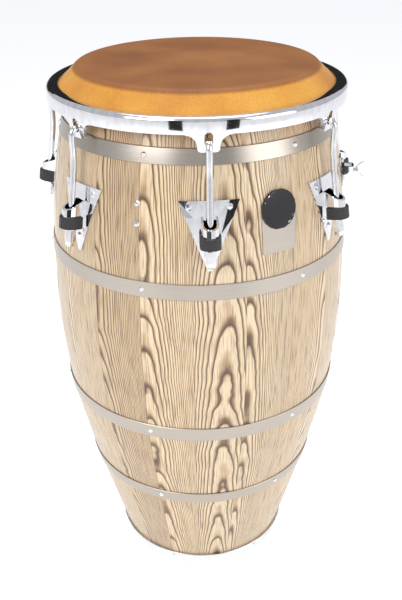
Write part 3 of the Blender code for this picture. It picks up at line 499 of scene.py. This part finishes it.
def turned(name, outline):
    """A closed outline of (radius, height) turned about Z, from azimuth 0."""
    bm = bmesh.new()
    rings = []
    for radius, height in outline:
        if radius < ON_AXIS:
            rings.append([bm.verts.new((0, 0, height))] * FACETS)
        else:
            turns = [math.tau * k / FACETS for k in range(FACETS)]
            rings.append([bm.verts.new(around(radius, turn, height)) for turn in turns])
    for ring, following in zip(rings, rings[1:] + rings[:1]):
        for k in range(FACETS):
            after = (k + 1) % FACETS
            corners = []
            for vert in (ring[k], ring[after], following[after], following[k]):
                if vert not in corners:
                    corners.append(vert)
            if len(corners) > 2:
                bm.faces.new(corners)
    return finish_mesh(name, bm)


def add_object(name, mesh):
    """Links a mesh to the scene as an object at the origin."""
    thing = bpy.data.objects.new(name, mesh)
    bpy.context.scene.collection.objects.link(thing)
    return thing


def settle(name, mesh, node, body):
    """Puts a finished mesh in the scene as the piece that stands for a node."""
    piece = add_object(name, mesh)
    slot = SLOTS[node]
    mesh.materials.clear()
    mesh.materials.append(FINISHES[slot])
    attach(piece, body)
    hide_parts(node)
    print(name, len(mesh.polygons), "faces")


print("turning helpers ready")

# %% [markdown]
# The shell is a hollow barrel, open at both ends, with a round bearing edge under the hide. Its
# inner wall is its outer one moved in, so one closed outline makes both.

# %% Shell
RING_HEIGHT = 0.021
RING_WALL = 0.003
RING_FLOOR = 0.003
RING_LEDGE = 0.002
SHELL_BOTTOM = RING_FLOOR + GAP
EDGE_START = math.radians(20)
EDGE_STEPS = 8
wall_heights = spread(SHELL_BOTTOM, EDGE_HEIGHT, SHELL_ROWS)
shell_outline = [(shell_radius(height), height) for height in wall_heights]
shell_outline += arc(EDGE_CENTRE, EDGE_ROUND, EDGE_START, math.pi / 2, EDGE_STEPS)
shell_outline += [(MOUTH_RADIUS - SHELL_WALL, SHELL_TOP)]
shell_outline += [(shell_radius(height) - SHELL_WALL, height) for height in reversed(wall_heights)]
settle("stave_shell", turned("stave_shell", shell_outline), "shell", "drum")

# %% [markdown]
# Four steel bands hold the staves together. Each follows the shell's curve at its own height,
# and its outer corners are cut back a little, as on rolled strip.

# %% Bands
BAND_THICKNESS = 0.0014
TOP_BAND_DROP = 0.0623
TOP_BAND_WIDTH = 0.019
UPPER_BAND_DROP = 0.226
UPPER_BAND_WIDTH = 0.0207
LOWER_BAND_HEIGHT = 0.317
LOWER_BAND_WIDTH = 0.0215
BOTTOM_BAND_HEIGHT = 0.181
BOTTOM_BAND_WIDTH = 0.0198
BANDS = {
    "band_top": (HEIGHT - TOP_BAND_DROP, TOP_BAND_WIDTH),
    "band_upper": (HEIGHT - UPPER_BAND_DROP, UPPER_BAND_WIDTH),
    "band_lower": (LOWER_BAND_HEIGHT, LOWER_BAND_WIDTH),
    "band_bottom": (BOTTOM_BAND_HEIGHT, BOTTOM_BAND_WIDTH),
}
BAND_EDGE = 0.0005
BAND_ROWS = 5
for node, (top, width) in BANDS.items():
    low = top - width
    inner = [(shell_radius(height) + GAP, height) for height in spread(top, low, BAND_ROWS)]
    face_heights = spread(low + BAND_EDGE, top - BAND_EDGE, BAND_ROWS)
    outer_face = [(shell_radius(height) + GAP + BAND_THICKNESS, height) for height in face_heights]
    lower_lip = [(shell_radius(low) + GAP + BAND_THICKNESS - BAND_EDGE, low)]
    upper_lip = [(shell_radius(top) + GAP + BAND_THICKNESS - BAND_EDGE, top)]
    settle(node + "_fine", turned(node, lower_lip + outer_face + upper_lip + inner), node, "drum")

# %% [markdown]
# A metal ring guards the foot. It wraps the shell's side and turns in under its end, so its
# section is an L, with a small chamfer where it meets the floor.

# %% Base ring
RING_TOE_SHARE = 0.75
RING_ROWS = 4
ring_inner = FOOT_RADIUS - SHELL_WALL - RING_LEDGE
ring_outline = [
    (ring_inner, 0),
    (shell_radius(0) + GAP + RING_WALL * RING_TOE_SHARE, 0),
    (shell_radius(RING_FLOOR / 2) + GAP + RING_WALL, RING_FLOOR / 2),
]
ring_side = spread(RING_FLOOR, RING_HEIGHT - BAND_EDGE, RING_ROWS)
ring_outline += [(shell_radius(height) + GAP + RING_WALL, height) for height in ring_side]
ring_outline += [
    (shell_radius(RING_HEIGHT) + GAP + RING_WALL - BAND_EDGE, RING_HEIGHT),
    (shell_radius(RING_HEIGHT) + GAP, RING_HEIGHT),
    (shell_radius(RING_FLOOR) + GAP, RING_FLOOR),
    (ring_inner, RING_FLOOR),
]
settle("base_ring_fine", turned("base_ring_fine", ring_outline), "base_ring", "drum")

# %% [markdown]
# The hide is drawn over the shell's round edge and down a cone, then lapped round a steel hoop.

# %% Head
COLLAR_SLOPE = math.radians(45)
HOOP_DROP = 0.0375
HOOP_WIRE = 0.0048
LAP_END = math.radians(-210)
COLLAR_NORMAL = (math.sin(COLLAR_SLOPE), math.cos(COLLAR_SLOPE))
CROWN_INNER = EDGE_ROUND + GAP
CROWN_OUTER = CROWN_INNER + SKIN_THICKNESS
COLLAR_OUTER = EDGE_CENTRE[0] * COLLAR_NORMAL[0] + EDGE_CENTRE[1] * COLLAR_NORMAL[1] + CROWN_OUTER
LAP_INNER = HOOP_WIRE + GAP
LAP_OUTER = LAP_INNER + SKIN_THICKNESS
HOOP_HEIGHT = HEIGHT - HOOP_DROP
HOOP_RADIUS = (COLLAR_OUTER - LAP_OUTER - HOOP_HEIGHT * COLLAR_NORMAL[1]) / COLLAR_NORMAL[0]
HOOP_CENTRE = (HOOP_RADIUS, HOOP_HEIGHT)
TANGENT = math.pi / 2 - COLLAR_SLOPE
LAP_STEPS = 28
lap = spread(TANGENT, LAP_END, LAP_STEPS)
head_outline = [(0, HEIGHT), (EDGE_CENTRE[0] / 2, HEIGHT)]
head_outline += arc(EDGE_CENTRE, CROWN_OUTER, math.pi / 2, TANGENT, EDGE_STEPS)
head_outline += circle_points(HOOP_CENTRE, LAP_OUTER, lap)
head_outline += circle_points(HOOP_CENTRE, LAP_INNER, reversed(lap))
head_outline += arc(EDGE_CENTRE, CROWN_INNER, TANGENT, math.pi / 2, EDGE_STEPS)
head_outline += [(0, HEIGHT - SKIN_THICKNESS)]
settle("rawhide_head", turned("rawhide_head", head_outline), "head_skin", "crown")

# %% [markdown]
# The rim needs shapes that a lathe can't make: ears bent round the axis, and slots cut through
# them. These helpers bend a plate, raise an outline, and join or cut with a Boolean.

# %% Plates, slots and Booleans
def rounded(corners, steps):
    """A closed outline from (x, y, fillet radius) corners, each fillet drawn in steps."""
    outline = []
    count = len(corners)
    for index, (x, y, radius) in enumerate(corners):
        corner = Vector((x, y))
        if radius == 0:
            outline.append((x, y))
            continue
        to_last = (Vector(corners[index - 1][:2]) - corner).normalized()
        to_next = (Vector(corners[(index + 1) % count][:2]) - corner).normalized()
        half_angle = to_last.angle(to_next) / 2
        bisector = (to_last + to_next).normalized()
        centre = corner + bisector * (radius / math.sin(half_angle))
        reach = radius / math.tan(half_angle)
        start = corner + to_last * reach - centre
        end = corner + to_next * reach - centre
        sweep = math.atan2(start.x * end.y - start.y * end.x, start.dot(end))
        for step in range(steps + 1):
            turn = Matrix.Rotation(sweep * step / steps, 2)
            point = centre + turn @ start
            outline.append((point.x, point.y))
    return outline


def extruded(name, outline, low, high, place):
    """An (x, y) outline raised along Z from low to high, then put in its place."""
    bm = bmesh.new()
    bottom = []
    top = []
    for x, y in outline:
        bottom.append(bm.verts.new((x, y, low)))
        top.append(bm.verts.new((x, y, high)))
    bm.faces.new(bottom)
    bm.faces.new(top)
    for k in range(len(outline)):
        after = (k + 1) % len(outline)
        bm.faces.new((bottom[k], bottom[after], top[after], top[k]))
    bmesh.ops.triangulate(bm, faces=[face for face in bm.faces if len(face.verts) > 4])
    bm.transform(place)
    return finish_mesh(name, bm)


def wrapped(name, heights, half_width, inner, outer, columns, azimuth):
    """A plate bent round the axis between two radii. All three are functions of the height."""
    bm = bmesh.new()
    sheets = []
    for radius in (inner, outer):
        rows = []
        for height in heights:
            angle = half_width(height) / outer(height)
            rows.append([
                bm.verts.new(around(radius(height), azimuth + angle * (2 * j / columns - 1), height))
                for j in range(columns + 1)
            ])
        sheets.append(rows)
    last = len(heights) - 1
    for rows in sheets:
        for low, high in zip(rows, rows[1:]):
            for j in range(columns):
                bm.faces.new((low[j], low[j + 1], high[j + 1], high[j]))
    back, front = sheets
    for row in (0, last):
        for j in range(columns):
            bm.faces.new((back[row][j], back[row][j + 1], front[row][j + 1], front[row][j]))
    for column in (0, columns):
        for i in range(last):
            bm.faces.new((back[i][column], back[i + 1][column], front[i + 1][column], front[i][column]))
    return finish_mesh(name, bm)


def joined(name, meshes):
    """Several closed shapes in one mesh, for cutting or joining."""
    bm = bmesh.new()
    for mesh in meshes:
        bm.from_mesh(mesh)
    return finish_mesh(name, bm)


def stadium(width, length, steps):
    """An upright slot's outline about its lower end, with round ends."""
    radius = width / 2
    low = arc((0, radius), radius, math.pi, math.tau, steps)
    high = arc((0, length - radius), radius, 0, math.pi, steps)
    return low + high


def combine(piece, helper, operation):
    """Adds an exact Boolean of helper to a piece."""
    modifier = piece.modifiers.new(operation.lower(), "BOOLEAN")
    modifier.solver = "EXACT"
    modifier.operation = operation
    modifier.object = helper


print("plate helpers ready")

# %% [markdown]
# The rim pulls the hide down by its hoop, so it stands just clear of the cone. Each ear is a
# tongue that hangs from it, leans in a little and flares into it by two fillets. Its width and
# its two faces are worked out from the height.

# %% Places on the rim
RIM_RISE = 0.0155
RIM_DEPTH = 0.020
RIM_SKIRT = 0.005
RIM_CLEARANCE = 0.0011
RIM_TOP_ROUND = 0.0055
RIM_EDGE_ROUND = 0.0012
EAR_DROP = 0.021
EAR_WIDTH = 0.026
EAR_FILLET = 0.015
EAR_THICKNESS = 0.004
EAR_SET_IN = 0.0007
EAR_LEAN = 0.0028
SLOT_WIDTH = 0.010
SLOT_LENGTH = 0.0173
BAR_DEPTH = 0.0068
RIM_TOP = HOOP_HEIGHT + RIM_RISE
RIM_BOTTOM = RIM_TOP - RIM_DEPTH
RIM_INNER = HOOP_RADIUS + LAP_OUTER + RIM_CLEARANCE
RIM_OUTER = RIM_INNER + RIM_SKIRT
EAR_BOTTOM = RIM_BOTTOM - EAR_DROP
EAR_TOP = RIM_BOTTOM + RIM_DEPTH / 8
BAR_TOP = EAR_BOTTOM + BAR_DEPTH
EAR_CORNER = EAR_WIDTH / 6


def collar_radius(height, clearance):
    """The radius of the hide's cone at a height, grown by a clearance."""
    return (COLLAR_OUTER + clearance - height * COLLAR_NORMAL[1]) / COLLAR_NORMAL[0]


def collar_height(radius, clearance):
    """The height of the hide's cone at a radius, grown by a clearance."""
    return (COLLAR_OUTER + clearance - radius * COLLAR_NORMAL[0]) / COLLAR_NORMAL[1]


def ear_outer(height):
    """The ear's outer radius, which leans in towards its lower end."""
    fall = min(max((RIM_BOTTOM - height) / EAR_DROP, 0), 1)
    return RIM_OUTER - EAR_SET_IN - EAR_LEAN * fall


def ear_inner(height):
    """The ear's inner radius."""
    return ear_outer(height) - EAR_THICKNESS


def ear_half_width(height):
    """Half the ear's width: a straight tongue, with fillets up into the rim."""
    rise = height - EAR_BOTTOM
    if rise < EAR_CORNER:
        inside = max(EAR_CORNER ** 2 - (EAR_CORNER - rise) ** 2, 0)
        return EAR_WIDTH / 2 - EAR_CORNER + math.sqrt(inside)
    into_fillet = height - (RIM_BOTTOM - EAR_FILLET)
    if into_fillet <= 0:
        return EAR_WIDTH / 2
    into_fillet = min(into_fillet, EAR_FILLET)
    return EAR_WIDTH / 2 + EAR_FILLET - math.sqrt(EAR_FILLET ** 2 - into_fillet ** 2)


print("rim radius:", round(RIM_OUTER, 4), "m")

# %% [markdown]
# The rim is turned, then its slotted ears are joined on with an exact Boolean, and the slots cut.

# %% Rim
RIM_STEPS = 7
EAR_ROWS = 22
EAR_COLUMNS = 14
SLOT_STEPS = 10
RIM_SHARP_ANGLE = math.radians(30)
rim_outline = rounded([
    (collar_radius(RIM_TOP, GAP), RIM_TOP, RIM_EDGE_ROUND),
    (RIM_INNER, collar_height(RIM_INNER, GAP), 0),
    (RIM_INNER, RIM_BOTTOM, RIM_EDGE_ROUND / 2),
    (RIM_OUTER, RIM_BOTTOM, RIM_EDGE_ROUND),
    (RIM_OUTER, RIM_TOP, RIM_TOP_ROUND),
], RIM_STEPS)
rim = add_object("rim_cut", turned("rim_cut", rim_outline))
ear_heights = spread(EAR_BOTTOM, RIM_BOTTOM, EAR_ROWS) + [EAR_TOP]
ears = []
slots = []
for k in range(LUG_COUNT):
    azimuth = k * LUG_PITCH
    ears.append(wrapped("ear", ear_heights, ear_half_width, ear_inner, ear_outer, EAR_COLUMNS, azimuth))
    slot_place = Matrix.Rotation(azimuth, 4, "Z") @ Matrix.Translation((0, 0, BAR_TOP))
    slot_place = slot_place @ Matrix.Rotation(math.pi / 2, 4, "X")
    slot_outline = stadium(SLOT_WIDTH, SLOT_LENGTH, SLOT_STEPS)
    slots.append(extruded("slot", slot_outline, RIM_INNER / 2, RIM_OUTER * 2, slot_place))
ears_tool = add_object("rim_ears", joined("rim_ears", ears))
slots_tool = add_object("rim_slots", joined("rim_slots", slots))
combine(rim, ears_tool, "UNION")
combine(rim, slots_tool, "DIFFERENCE")
evaluated = rim.evaluated_get(bpy.context.evaluated_depsgraph_get())
rim_mesh = bpy.data.meshes.new_from_object(evaluated)
for helper in (rim, ears_tool, slots_tool):
    bpy.data.objects.remove(helper, do_unlink=True)
rim_mesh.set_sharp_from_angle(angle=RIM_SHARP_ANGLE)
settle("chrome_rim", rim_mesh, "rim", "crown")

# %% [markdown]
# Each hook is a steel rod, bent over the ear's bar at the top and kinked at the knee, so that its
# thread runs straight through the bracket. Its path follows the rule that the frame's hook
# follows, with more points round the top bend.

# %% Path of a hook
HOOK_ROD = 0.0079
HOOK_STANDOFF = 0.0038
HOOK_BEND_RADIUS = 0.0085
HOOK_TIP = 0.0025
HOOK_TILT = math.radians(9)
KNEE_DROP = 0.090
KNEE_RADIUS = 0.12
THREAD_LENGTH_IN_NUT = 0.0165
WASHER_THICKNESS = 0.002
BRACKET_DROP = 0.1725
ROD_RADIUS = HOOK_ROD / 2
HOOK_RADIUS = ear_outer(BAR_TOP) + HOOK_STANDOFF + ROD_RADIUS
HOOK_ARC_RADIUS = HOOK_RADIUS - HOOK_BEND_RADIUS
HOOK_ARC_STEPS = 18
KNEE_STEPS = 2
HOOK_SIDES = 24
WIDEST_SHARE = 0.95
KNEE_HEIGHT = HEIGHT - KNEE_DROP
BRACKET_HEIGHT = HEIGHT - BRACKET_DROP


def axis_radius(height):
    """The radius of the hook's threaded axis at a height."""
    return HOOK_RADIUS + (KNEE_HEIGHT - height) * math.tan(HOOK_TILT)


BRACKET_RADIUS = axis_radius(BRACKET_HEIGHT)
AXIS_ORIGIN = Vector((0, -BRACKET_RADIUS, BRACKET_HEIGHT))
AXIS_FRAME = Matrix.Translation(AXIS_ORIGIN) @ Matrix.Rotation(-HOOK_TILT, 4, "X")
NUT_TOP = -(GAP + WASHER_THICKNESS + GAP)


def hook_arc_height():
    """How high the nose's arc centre stands so that it clears the bar by the gap."""
    inner = (HOOK_BEND_RADIUS - ROD_RADIUS) * math.cos(math.pi / HOOK_ARC_STEPS / 2)
    bar_inner = HOOK_ARC_RADIUS - ear_inner(BAR_TOP)
    bar_outer = ear_outer(BAR_TOP) - HOOK_ARC_RADIUS
    widest = min(max(bar_inner, bar_outer), inner * WIDEST_SHARE)
    return BAR_TOP + GAP - math.sqrt(inner ** 2 - widest ** 2)


def hook_path():
    """The hook's centre line in the YZ plane, from its tip to its threaded end."""
    arc_height = hook_arc_height()
    centre = (HOOK_ARC_RADIUS, arc_height)
    points = [(HOOK_RADIUS - 2 * HOOK_BEND_RADIUS, arc_height - HOOK_TIP)]
    points += arc(centre, HOOK_BEND_RADIUS, math.pi, 0, HOOK_ARC_STEPS)
    reach = KNEE_RADIUS * math.tan(HOOK_TILT / 2)
    knee_centre = (HOOK_RADIUS + KNEE_RADIUS, KNEE_HEIGHT + reach)
    points += arc(knee_centre, KNEE_RADIUS, math.pi, math.pi + HOOK_TILT, KNEE_STEPS)
    thread_end = AXIS_FRAME @ Vector((0, 0, NUT_TOP - THREAD_LENGTH_IN_NUT))
    points += [(-thread_end.y, thread_end.z)]
    return [Vector((0, -radius, height)) - AXIS_ORIGIN for radius, height in points]


print("hook path:", len(hook_path()), "points")

# %% [markdown]
# Seven hooks, each a bent bar. A bar is drawn once, swept with round sides, and copied to its
# place round the rim with its place written into its mesh, because a pattern on Object
# coordinates would turn with a turned object.

# %% Hooks
def swept(name, path, radius, sides):
    """A round bar along a path in the YZ plane, with flat ends."""
    bm = bmesh.new()
    rings = []
    for index, point in enumerate(path):
        before = path[max(index - 1, 0)]
        after = path[min(index + 1, len(path) - 1)]
        along = (after - before).normalized()
        aside = Vector((1, 0, 0))
        third = along.cross(aside)
        bend = 1.0
        if 0 < index < len(path) - 1:
            bend = math.cos((point - before).angle(after - point) / 2)
        ring = []
        for k in range(sides):
            turn = math.tau * (k + 0.5) / sides
            outward = math.cos(turn) * aside + math.sin(turn) / bend * third
            ring.append(bm.verts.new(point + radius * outward))
        rings.append(ring)
    for ring, following in zip(rings, rings[1:]):
        for k in range(sides):
            after = (k + 1) % sides
            bm.faces.new((ring[k], ring[after], following[after], following[k]))
    bm.faces.new(rings[0])
    bm.faces.new(rings[-1])
    return finish_mesh(name, bm)


hook_mesh = swept("hook_bar", hook_path(), ROD_RADIUS, HOOK_SIDES)
for k in range(LUG_COUNT):
    mesh = hook_mesh.copy()
    mesh.transform(Matrix.Rotation(k * LUG_PITCH, 4, "Z") @ Matrix.Translation(AXIS_ORIGIN))
    settle(f"hook_bar_{k + 1}", mesh, f"tuning_hook_{k + 1}", f"hook_{k + 1}")

# %% [markdown]
# The rest of the hardware keeps its own solids: plates, brackets, guards, nuts, bolts and the
# clamp are the right shape already. Each gets its finish, and a small bevel to catch the light.

# %% Hardware
EDGE_BEVEL = 0.00035
BEVEL_SEGMENTS = 2
for node, solid in frame["nodes"].items():
    if solid.hide_render:
        continue
    solid.data.materials.clear()
    solid.data.materials.append(FINISHES[SLOTS[node]])
    bevel = solid.modifiers.new("edge", "BEVEL")
    bevel.width = EDGE_BEVEL
    bevel.segments = BEVEL_SEGMENTS
    bevel.limit_method = "ANGLE"
    bevel.angle_limit = SHARP_ANGLE
print(len(frame["nodes"]), "nodes in the frame")

# %% [markdown]
# Screws hold each band and the base ring. They repeat round a circle, which is a job for
# Geometry Nodes: a circle gives the points, and a small ball is set on each, partly sunk,
# so that only its cap shows.

# %% Screws
SCREW_COUNT = 6
SCREW_PHASE = math.radians(-24)
SCREW_HEAD = 0.0034
SCREW_SUNK = SCREW_HEAD * 0.3
RING_SCREW_SHARE = 0.7


def screw_tree():
    """A node tree that sets screw heads round a circle."""
    tree = bpy.data.node_groups.new("ring_of_screws", "GeometryNodeTree")
    wires = tree.interface
    wires.new_socket("Geometry", in_out="INPUT", socket_type="NodeSocketGeometry")
    for label in ("Radius", "Height", "Turn", "Head"):
        wires.new_socket(label, in_out="INPUT", socket_type="NodeSocketFloat")
    wires.new_socket("Count", in_out="INPUT", socket_type="NodeSocketInt")
    wires.new_socket("Finish", in_out="INPUT", socket_type="NodeSocketMaterial")
    wires.new_socket("Geometry", in_out="OUTPUT", socket_type="NodeSocketGeometry")
    enter = tree.nodes.new("NodeGroupInput")
    leave = tree.nodes.new("NodeGroupOutput")
    circle = tree.nodes.new("GeometryNodeMeshCircle")
    lift = tree.nodes.new("ShaderNodeCombineXYZ")
    spin = tree.nodes.new("ShaderNodeCombineXYZ")
    move = tree.nodes.new("GeometryNodeTransform")
    ball = tree.nodes.new("GeometryNodeMeshUVSphere")
    smooth = tree.nodes.new("GeometryNodeSetShadeSmooth")
    scatter = tree.nodes.new("GeometryNodeInstanceOnPoints")
    real = tree.nodes.new("GeometryNodeRealizeInstances")
    coat = tree.nodes.new("GeometryNodeSetMaterial")
    join = tree.links.new
    join(enter.outputs["Count"], circle.inputs["Vertices"])
    join(enter.outputs["Radius"], circle.inputs["Radius"])
    join(enter.outputs["Height"], lift.inputs["Z"])
    join(enter.outputs["Turn"], spin.inputs["Z"])
    join(circle.outputs["Mesh"], move.inputs["Geometry"])
    join(lift.outputs[0], move.inputs["Translation"])
    join(spin.outputs[0], move.inputs["Rotation"])
    join(enter.outputs["Head"], ball.inputs["Radius"])
    join(ball.outputs["Mesh"], smooth.inputs["Geometry"])
    join(move.outputs["Geometry"], scatter.inputs["Points"])
    join(smooth.outputs["Geometry"], scatter.inputs["Instance"])
    join(scatter.outputs["Instances"], real.inputs["Geometry"])
    join(real.outputs["Geometry"], coat.inputs["Geometry"])
    join(enter.outputs["Finish"], coat.inputs["Material"])
    join(coat.outputs["Geometry"], leave.inputs["Geometry"])
    return tree


SCREW_TREE = screw_tree()


def ring_of_screws(name, radius, height):
    """Screw heads, partly sunk, round the drum at a height."""
    seed = add_object(name + "_seed", bpy.data.meshes.new(name + "_seed"))
    modifier = seed.modifiers.new("screws", "NODES")
    modifier.node_group = SCREW_TREE
    values = {"Radius": radius, "Height": height, "Turn": SCREW_PHASE - math.pi / 2,
              "Head": SCREW_HEAD, "Count": SCREW_COUNT, "Finish": CHROME}
    for socket in SCREW_TREE.interface.items_tree:
        if socket.in_out == "INPUT" and socket.name in values:
            modifier[socket.identifier] = values[socket.name]
    seed.update_tag()
    bpy.context.view_layer.update()
    evaluated = seed.evaluated_get(bpy.context.evaluated_depsgraph_get())
    mesh = bpy.data.meshes.new_from_object(evaluated)
    bpy.data.objects.remove(seed, do_unlink=True)
    screws = add_object(name, mesh)
    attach(screws, "drum")
    print(name, len(mesh.vertices), "vertices")


for node, (top, width) in BANDS.items():
    middle = top - width / 2
    radius = shell_radius(middle) + GAP + BAND_THICKNESS - SCREW_SUNK
    ring_of_screws(node + "_screws", radius, middle)
ring_screw_height = RING_HEIGHT * RING_SCREW_SHARE
ring_screw_radius = shell_radius(ring_screw_height) + GAP + RING_WALL - SCREW_SUNK
ring_of_screws("base_ring_screws", ring_screw_radius, ring_screw_height)

# %% [markdown]
# The badge is left bare: a black disc with a bright ring round it. The ring is a round wire laid
# on the shell's own curve, so its path is worked out point by point round the disc.

# %% Badge ring
BADGE_AZIMUTH = LUG_PITCH / 2
DISC_LOW, DISC_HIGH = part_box("badge_disc")
BADGE_HEIGHT = (DISC_LOW.z + DISC_HIGH.z) / 2
BADGE_RADIUS = (DISC_HIGH.z - DISC_LOW.z) / 2
BADGE_STANDOFF = 0.0034
WIRE = 0.0012
WIRE_SIDES = 10
WIRE_POINTS = 96


def badge_wire():
    """A closed wire round the badge, following the shell."""
    bm = bmesh.new()
    rings = []
    for step in range(WIRE_POINTS):
        turn = math.tau * step / WIRE_POINTS
        ring = []
        for side in range(WIRE_SIDES):
            lean = math.tau * side / WIRE_SIDES
            reach = BADGE_RADIUS - WIRE + WIRE * math.cos(lean)
            height = BADGE_HEIGHT + reach * math.sin(turn)
            radius = shell_radius(height) + BADGE_STANDOFF + WIRE * math.sin(lean) - WIRE
            azimuth = BADGE_AZIMUTH + reach * math.cos(turn) / radius
            ring.append(bm.verts.new(around(radius, azimuth, height)))
        rings.append(ring)
    for ring, following in zip(rings, rings[1:] + rings[:1]):
        for side in range(WIRE_SIDES):
            after = (side + 1) % WIRE_SIDES
            bm.faces.new((ring[side], ring[after], following[after], following[side]))
    return finish_mesh("badge_wire", bm)


wire = add_object("badge_wire", badge_wire())
wire.data.materials.append(CHROME)
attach(wire, "drum")
print("badge ring at", round(BADGE_HEIGHT, 4), "m")

# %% [markdown]
# A pale floor and soft lights, as in a bright studio. Polished metal also needs something dark
# to reflect, so three dark cards stand round the drum, which only reflections show.

# %% Floor and cards
FLOOR_GLOW = 0.38
FLOOR_DROP = 0.0006
FLOOR_SIZE = 30


def card(name, centre, size, turn, finish):
    """A flat sheet, part of the studio."""
    bm = bmesh.new()
    bmesh.ops.create_grid(bm, x_segments=1, y_segments=1, size=0.5)
    scaled = Matrix.Diagonal((size[0], size[1], 1, 1))
    bm.transform(Matrix.Translation(centre) @ turn.to_4x4() @ scaled)
    mesh = bpy.data.meshes.new(name)
    bm.to_mesh(mesh)
    bm.free()
    mesh.materials.append(finish)
    sheet = add_object(name, mesh)
    return sheet


def plain(name, colour, roughness):
    """A plain finish for the studio."""
    finish, _, shader = new_material(name, roughness)
    shader.inputs["Base Color"].default_value = (*colour, 1)
    return finish


flat = Matrix.Identity(3)
upright = Matrix.Rotation(math.pi / 2, 3, "X")
paper = plain("floor_paper", (0.92, 0.92, 0.92), 0.8)
paper_shader = paper.node_tree.nodes["Principled BSDF"]
paper_shader.inputs["Emission Color"].default_value = (1, 1, 1, 1)
paper_shader.inputs["Emission Strength"].default_value = FLOOR_GLOW
card("floor", (0, 0, -FLOOR_DROP), (FLOOR_SIZE, FLOOR_SIZE), flat, paper)
black = plain("black_card", (0.004, 0.004, 0.004), 0.9)
CARDS = {
    "card_back": ((0, 1.9, 1.22), (2.6, 0.62)),
    "card_left": ((-0.75, -2.2, 0.6), (0.42, 2.4)),
    "card_right": ((0.85, -2.2, 0.6), (0.42, 2.4)),
}
for name, (centre, size) in CARDS.items():
    dark = card(name, centre, size, upright, black)
    dark.visible_camera = False
    dark.visible_diffuse = False
    dark.visible_shadow = False
print(1 + len(CARDS), "sheets")

# %% [markdown]
# Three soft lamps: a key from the left, a weaker fill from the right, and one above for the head.
# Their power is low, so that each colour renders about as it is written.

# %% Lamps
def area_light(name, centre, target, size, power):
    """A soft square light aimed at a point."""
    data = bpy.data.lights.new(name, "AREA")
    data.size = size
    data.energy = power
    lamp = bpy.data.objects.new(name, data)
    lamp.location = centre
    lamp.rotation_euler = (Vector(target) - Vector(centre)).to_track_quat("-Z", "Y").to_euler()
    bpy.context.scene.collection.objects.link(lamp)


area_light("key", (-1.5, -1.7, 2.0), (0, 0, 0.4), 1.4, 30)
area_light("fill", (1.9, -1.5, 1.3), (0, 0, 0.4), 1.6, 20)
area_light("top", (0, 0.2, 2.6), (0, 0, 0.6), 1.6, 16)
print("lamps:", len(bpy.data.lights))

# %% [markdown]
# The world is a pale sky to everything but the camera, which sees plain white. That keeps the
# background clean without putting more light on the drum.

# %% World
SKY = (0.93, 0.95, 1.0)
SKY_STRENGTH = 0.62
world = bpy.data.worlds.new("studio")
bpy.context.scene.world = world
world.use_nodes = True
tree = world.node_tree
background = tree.nodes["Background"]
path = tree.nodes.new("ShaderNodeLightPath")
white = tree.nodes.new("ShaderNodeBackground")
white.inputs["Strength"].default_value = 1.0
white.inputs["Color"].default_value = (1, 1, 1, 1)
background.inputs["Color"].default_value = (*SKY, 1)
background.inputs["Strength"].default_value = SKY_STRENGTH
choose = tree.nodes.new("ShaderNodeMixShader")
tree.links.new(path.outputs["Is Camera Ray"], choose.inputs[0])
tree.links.new(background.outputs[0], choose.inputs[1])
tree.links.new(white.outputs[0], choose.inputs[2])
tree.links.new(choose.outputs[0], tree.nodes["World Output"].inputs[0])
bpy.context.scene.view_settings.view_transform = "Standard"
print("studio ready")
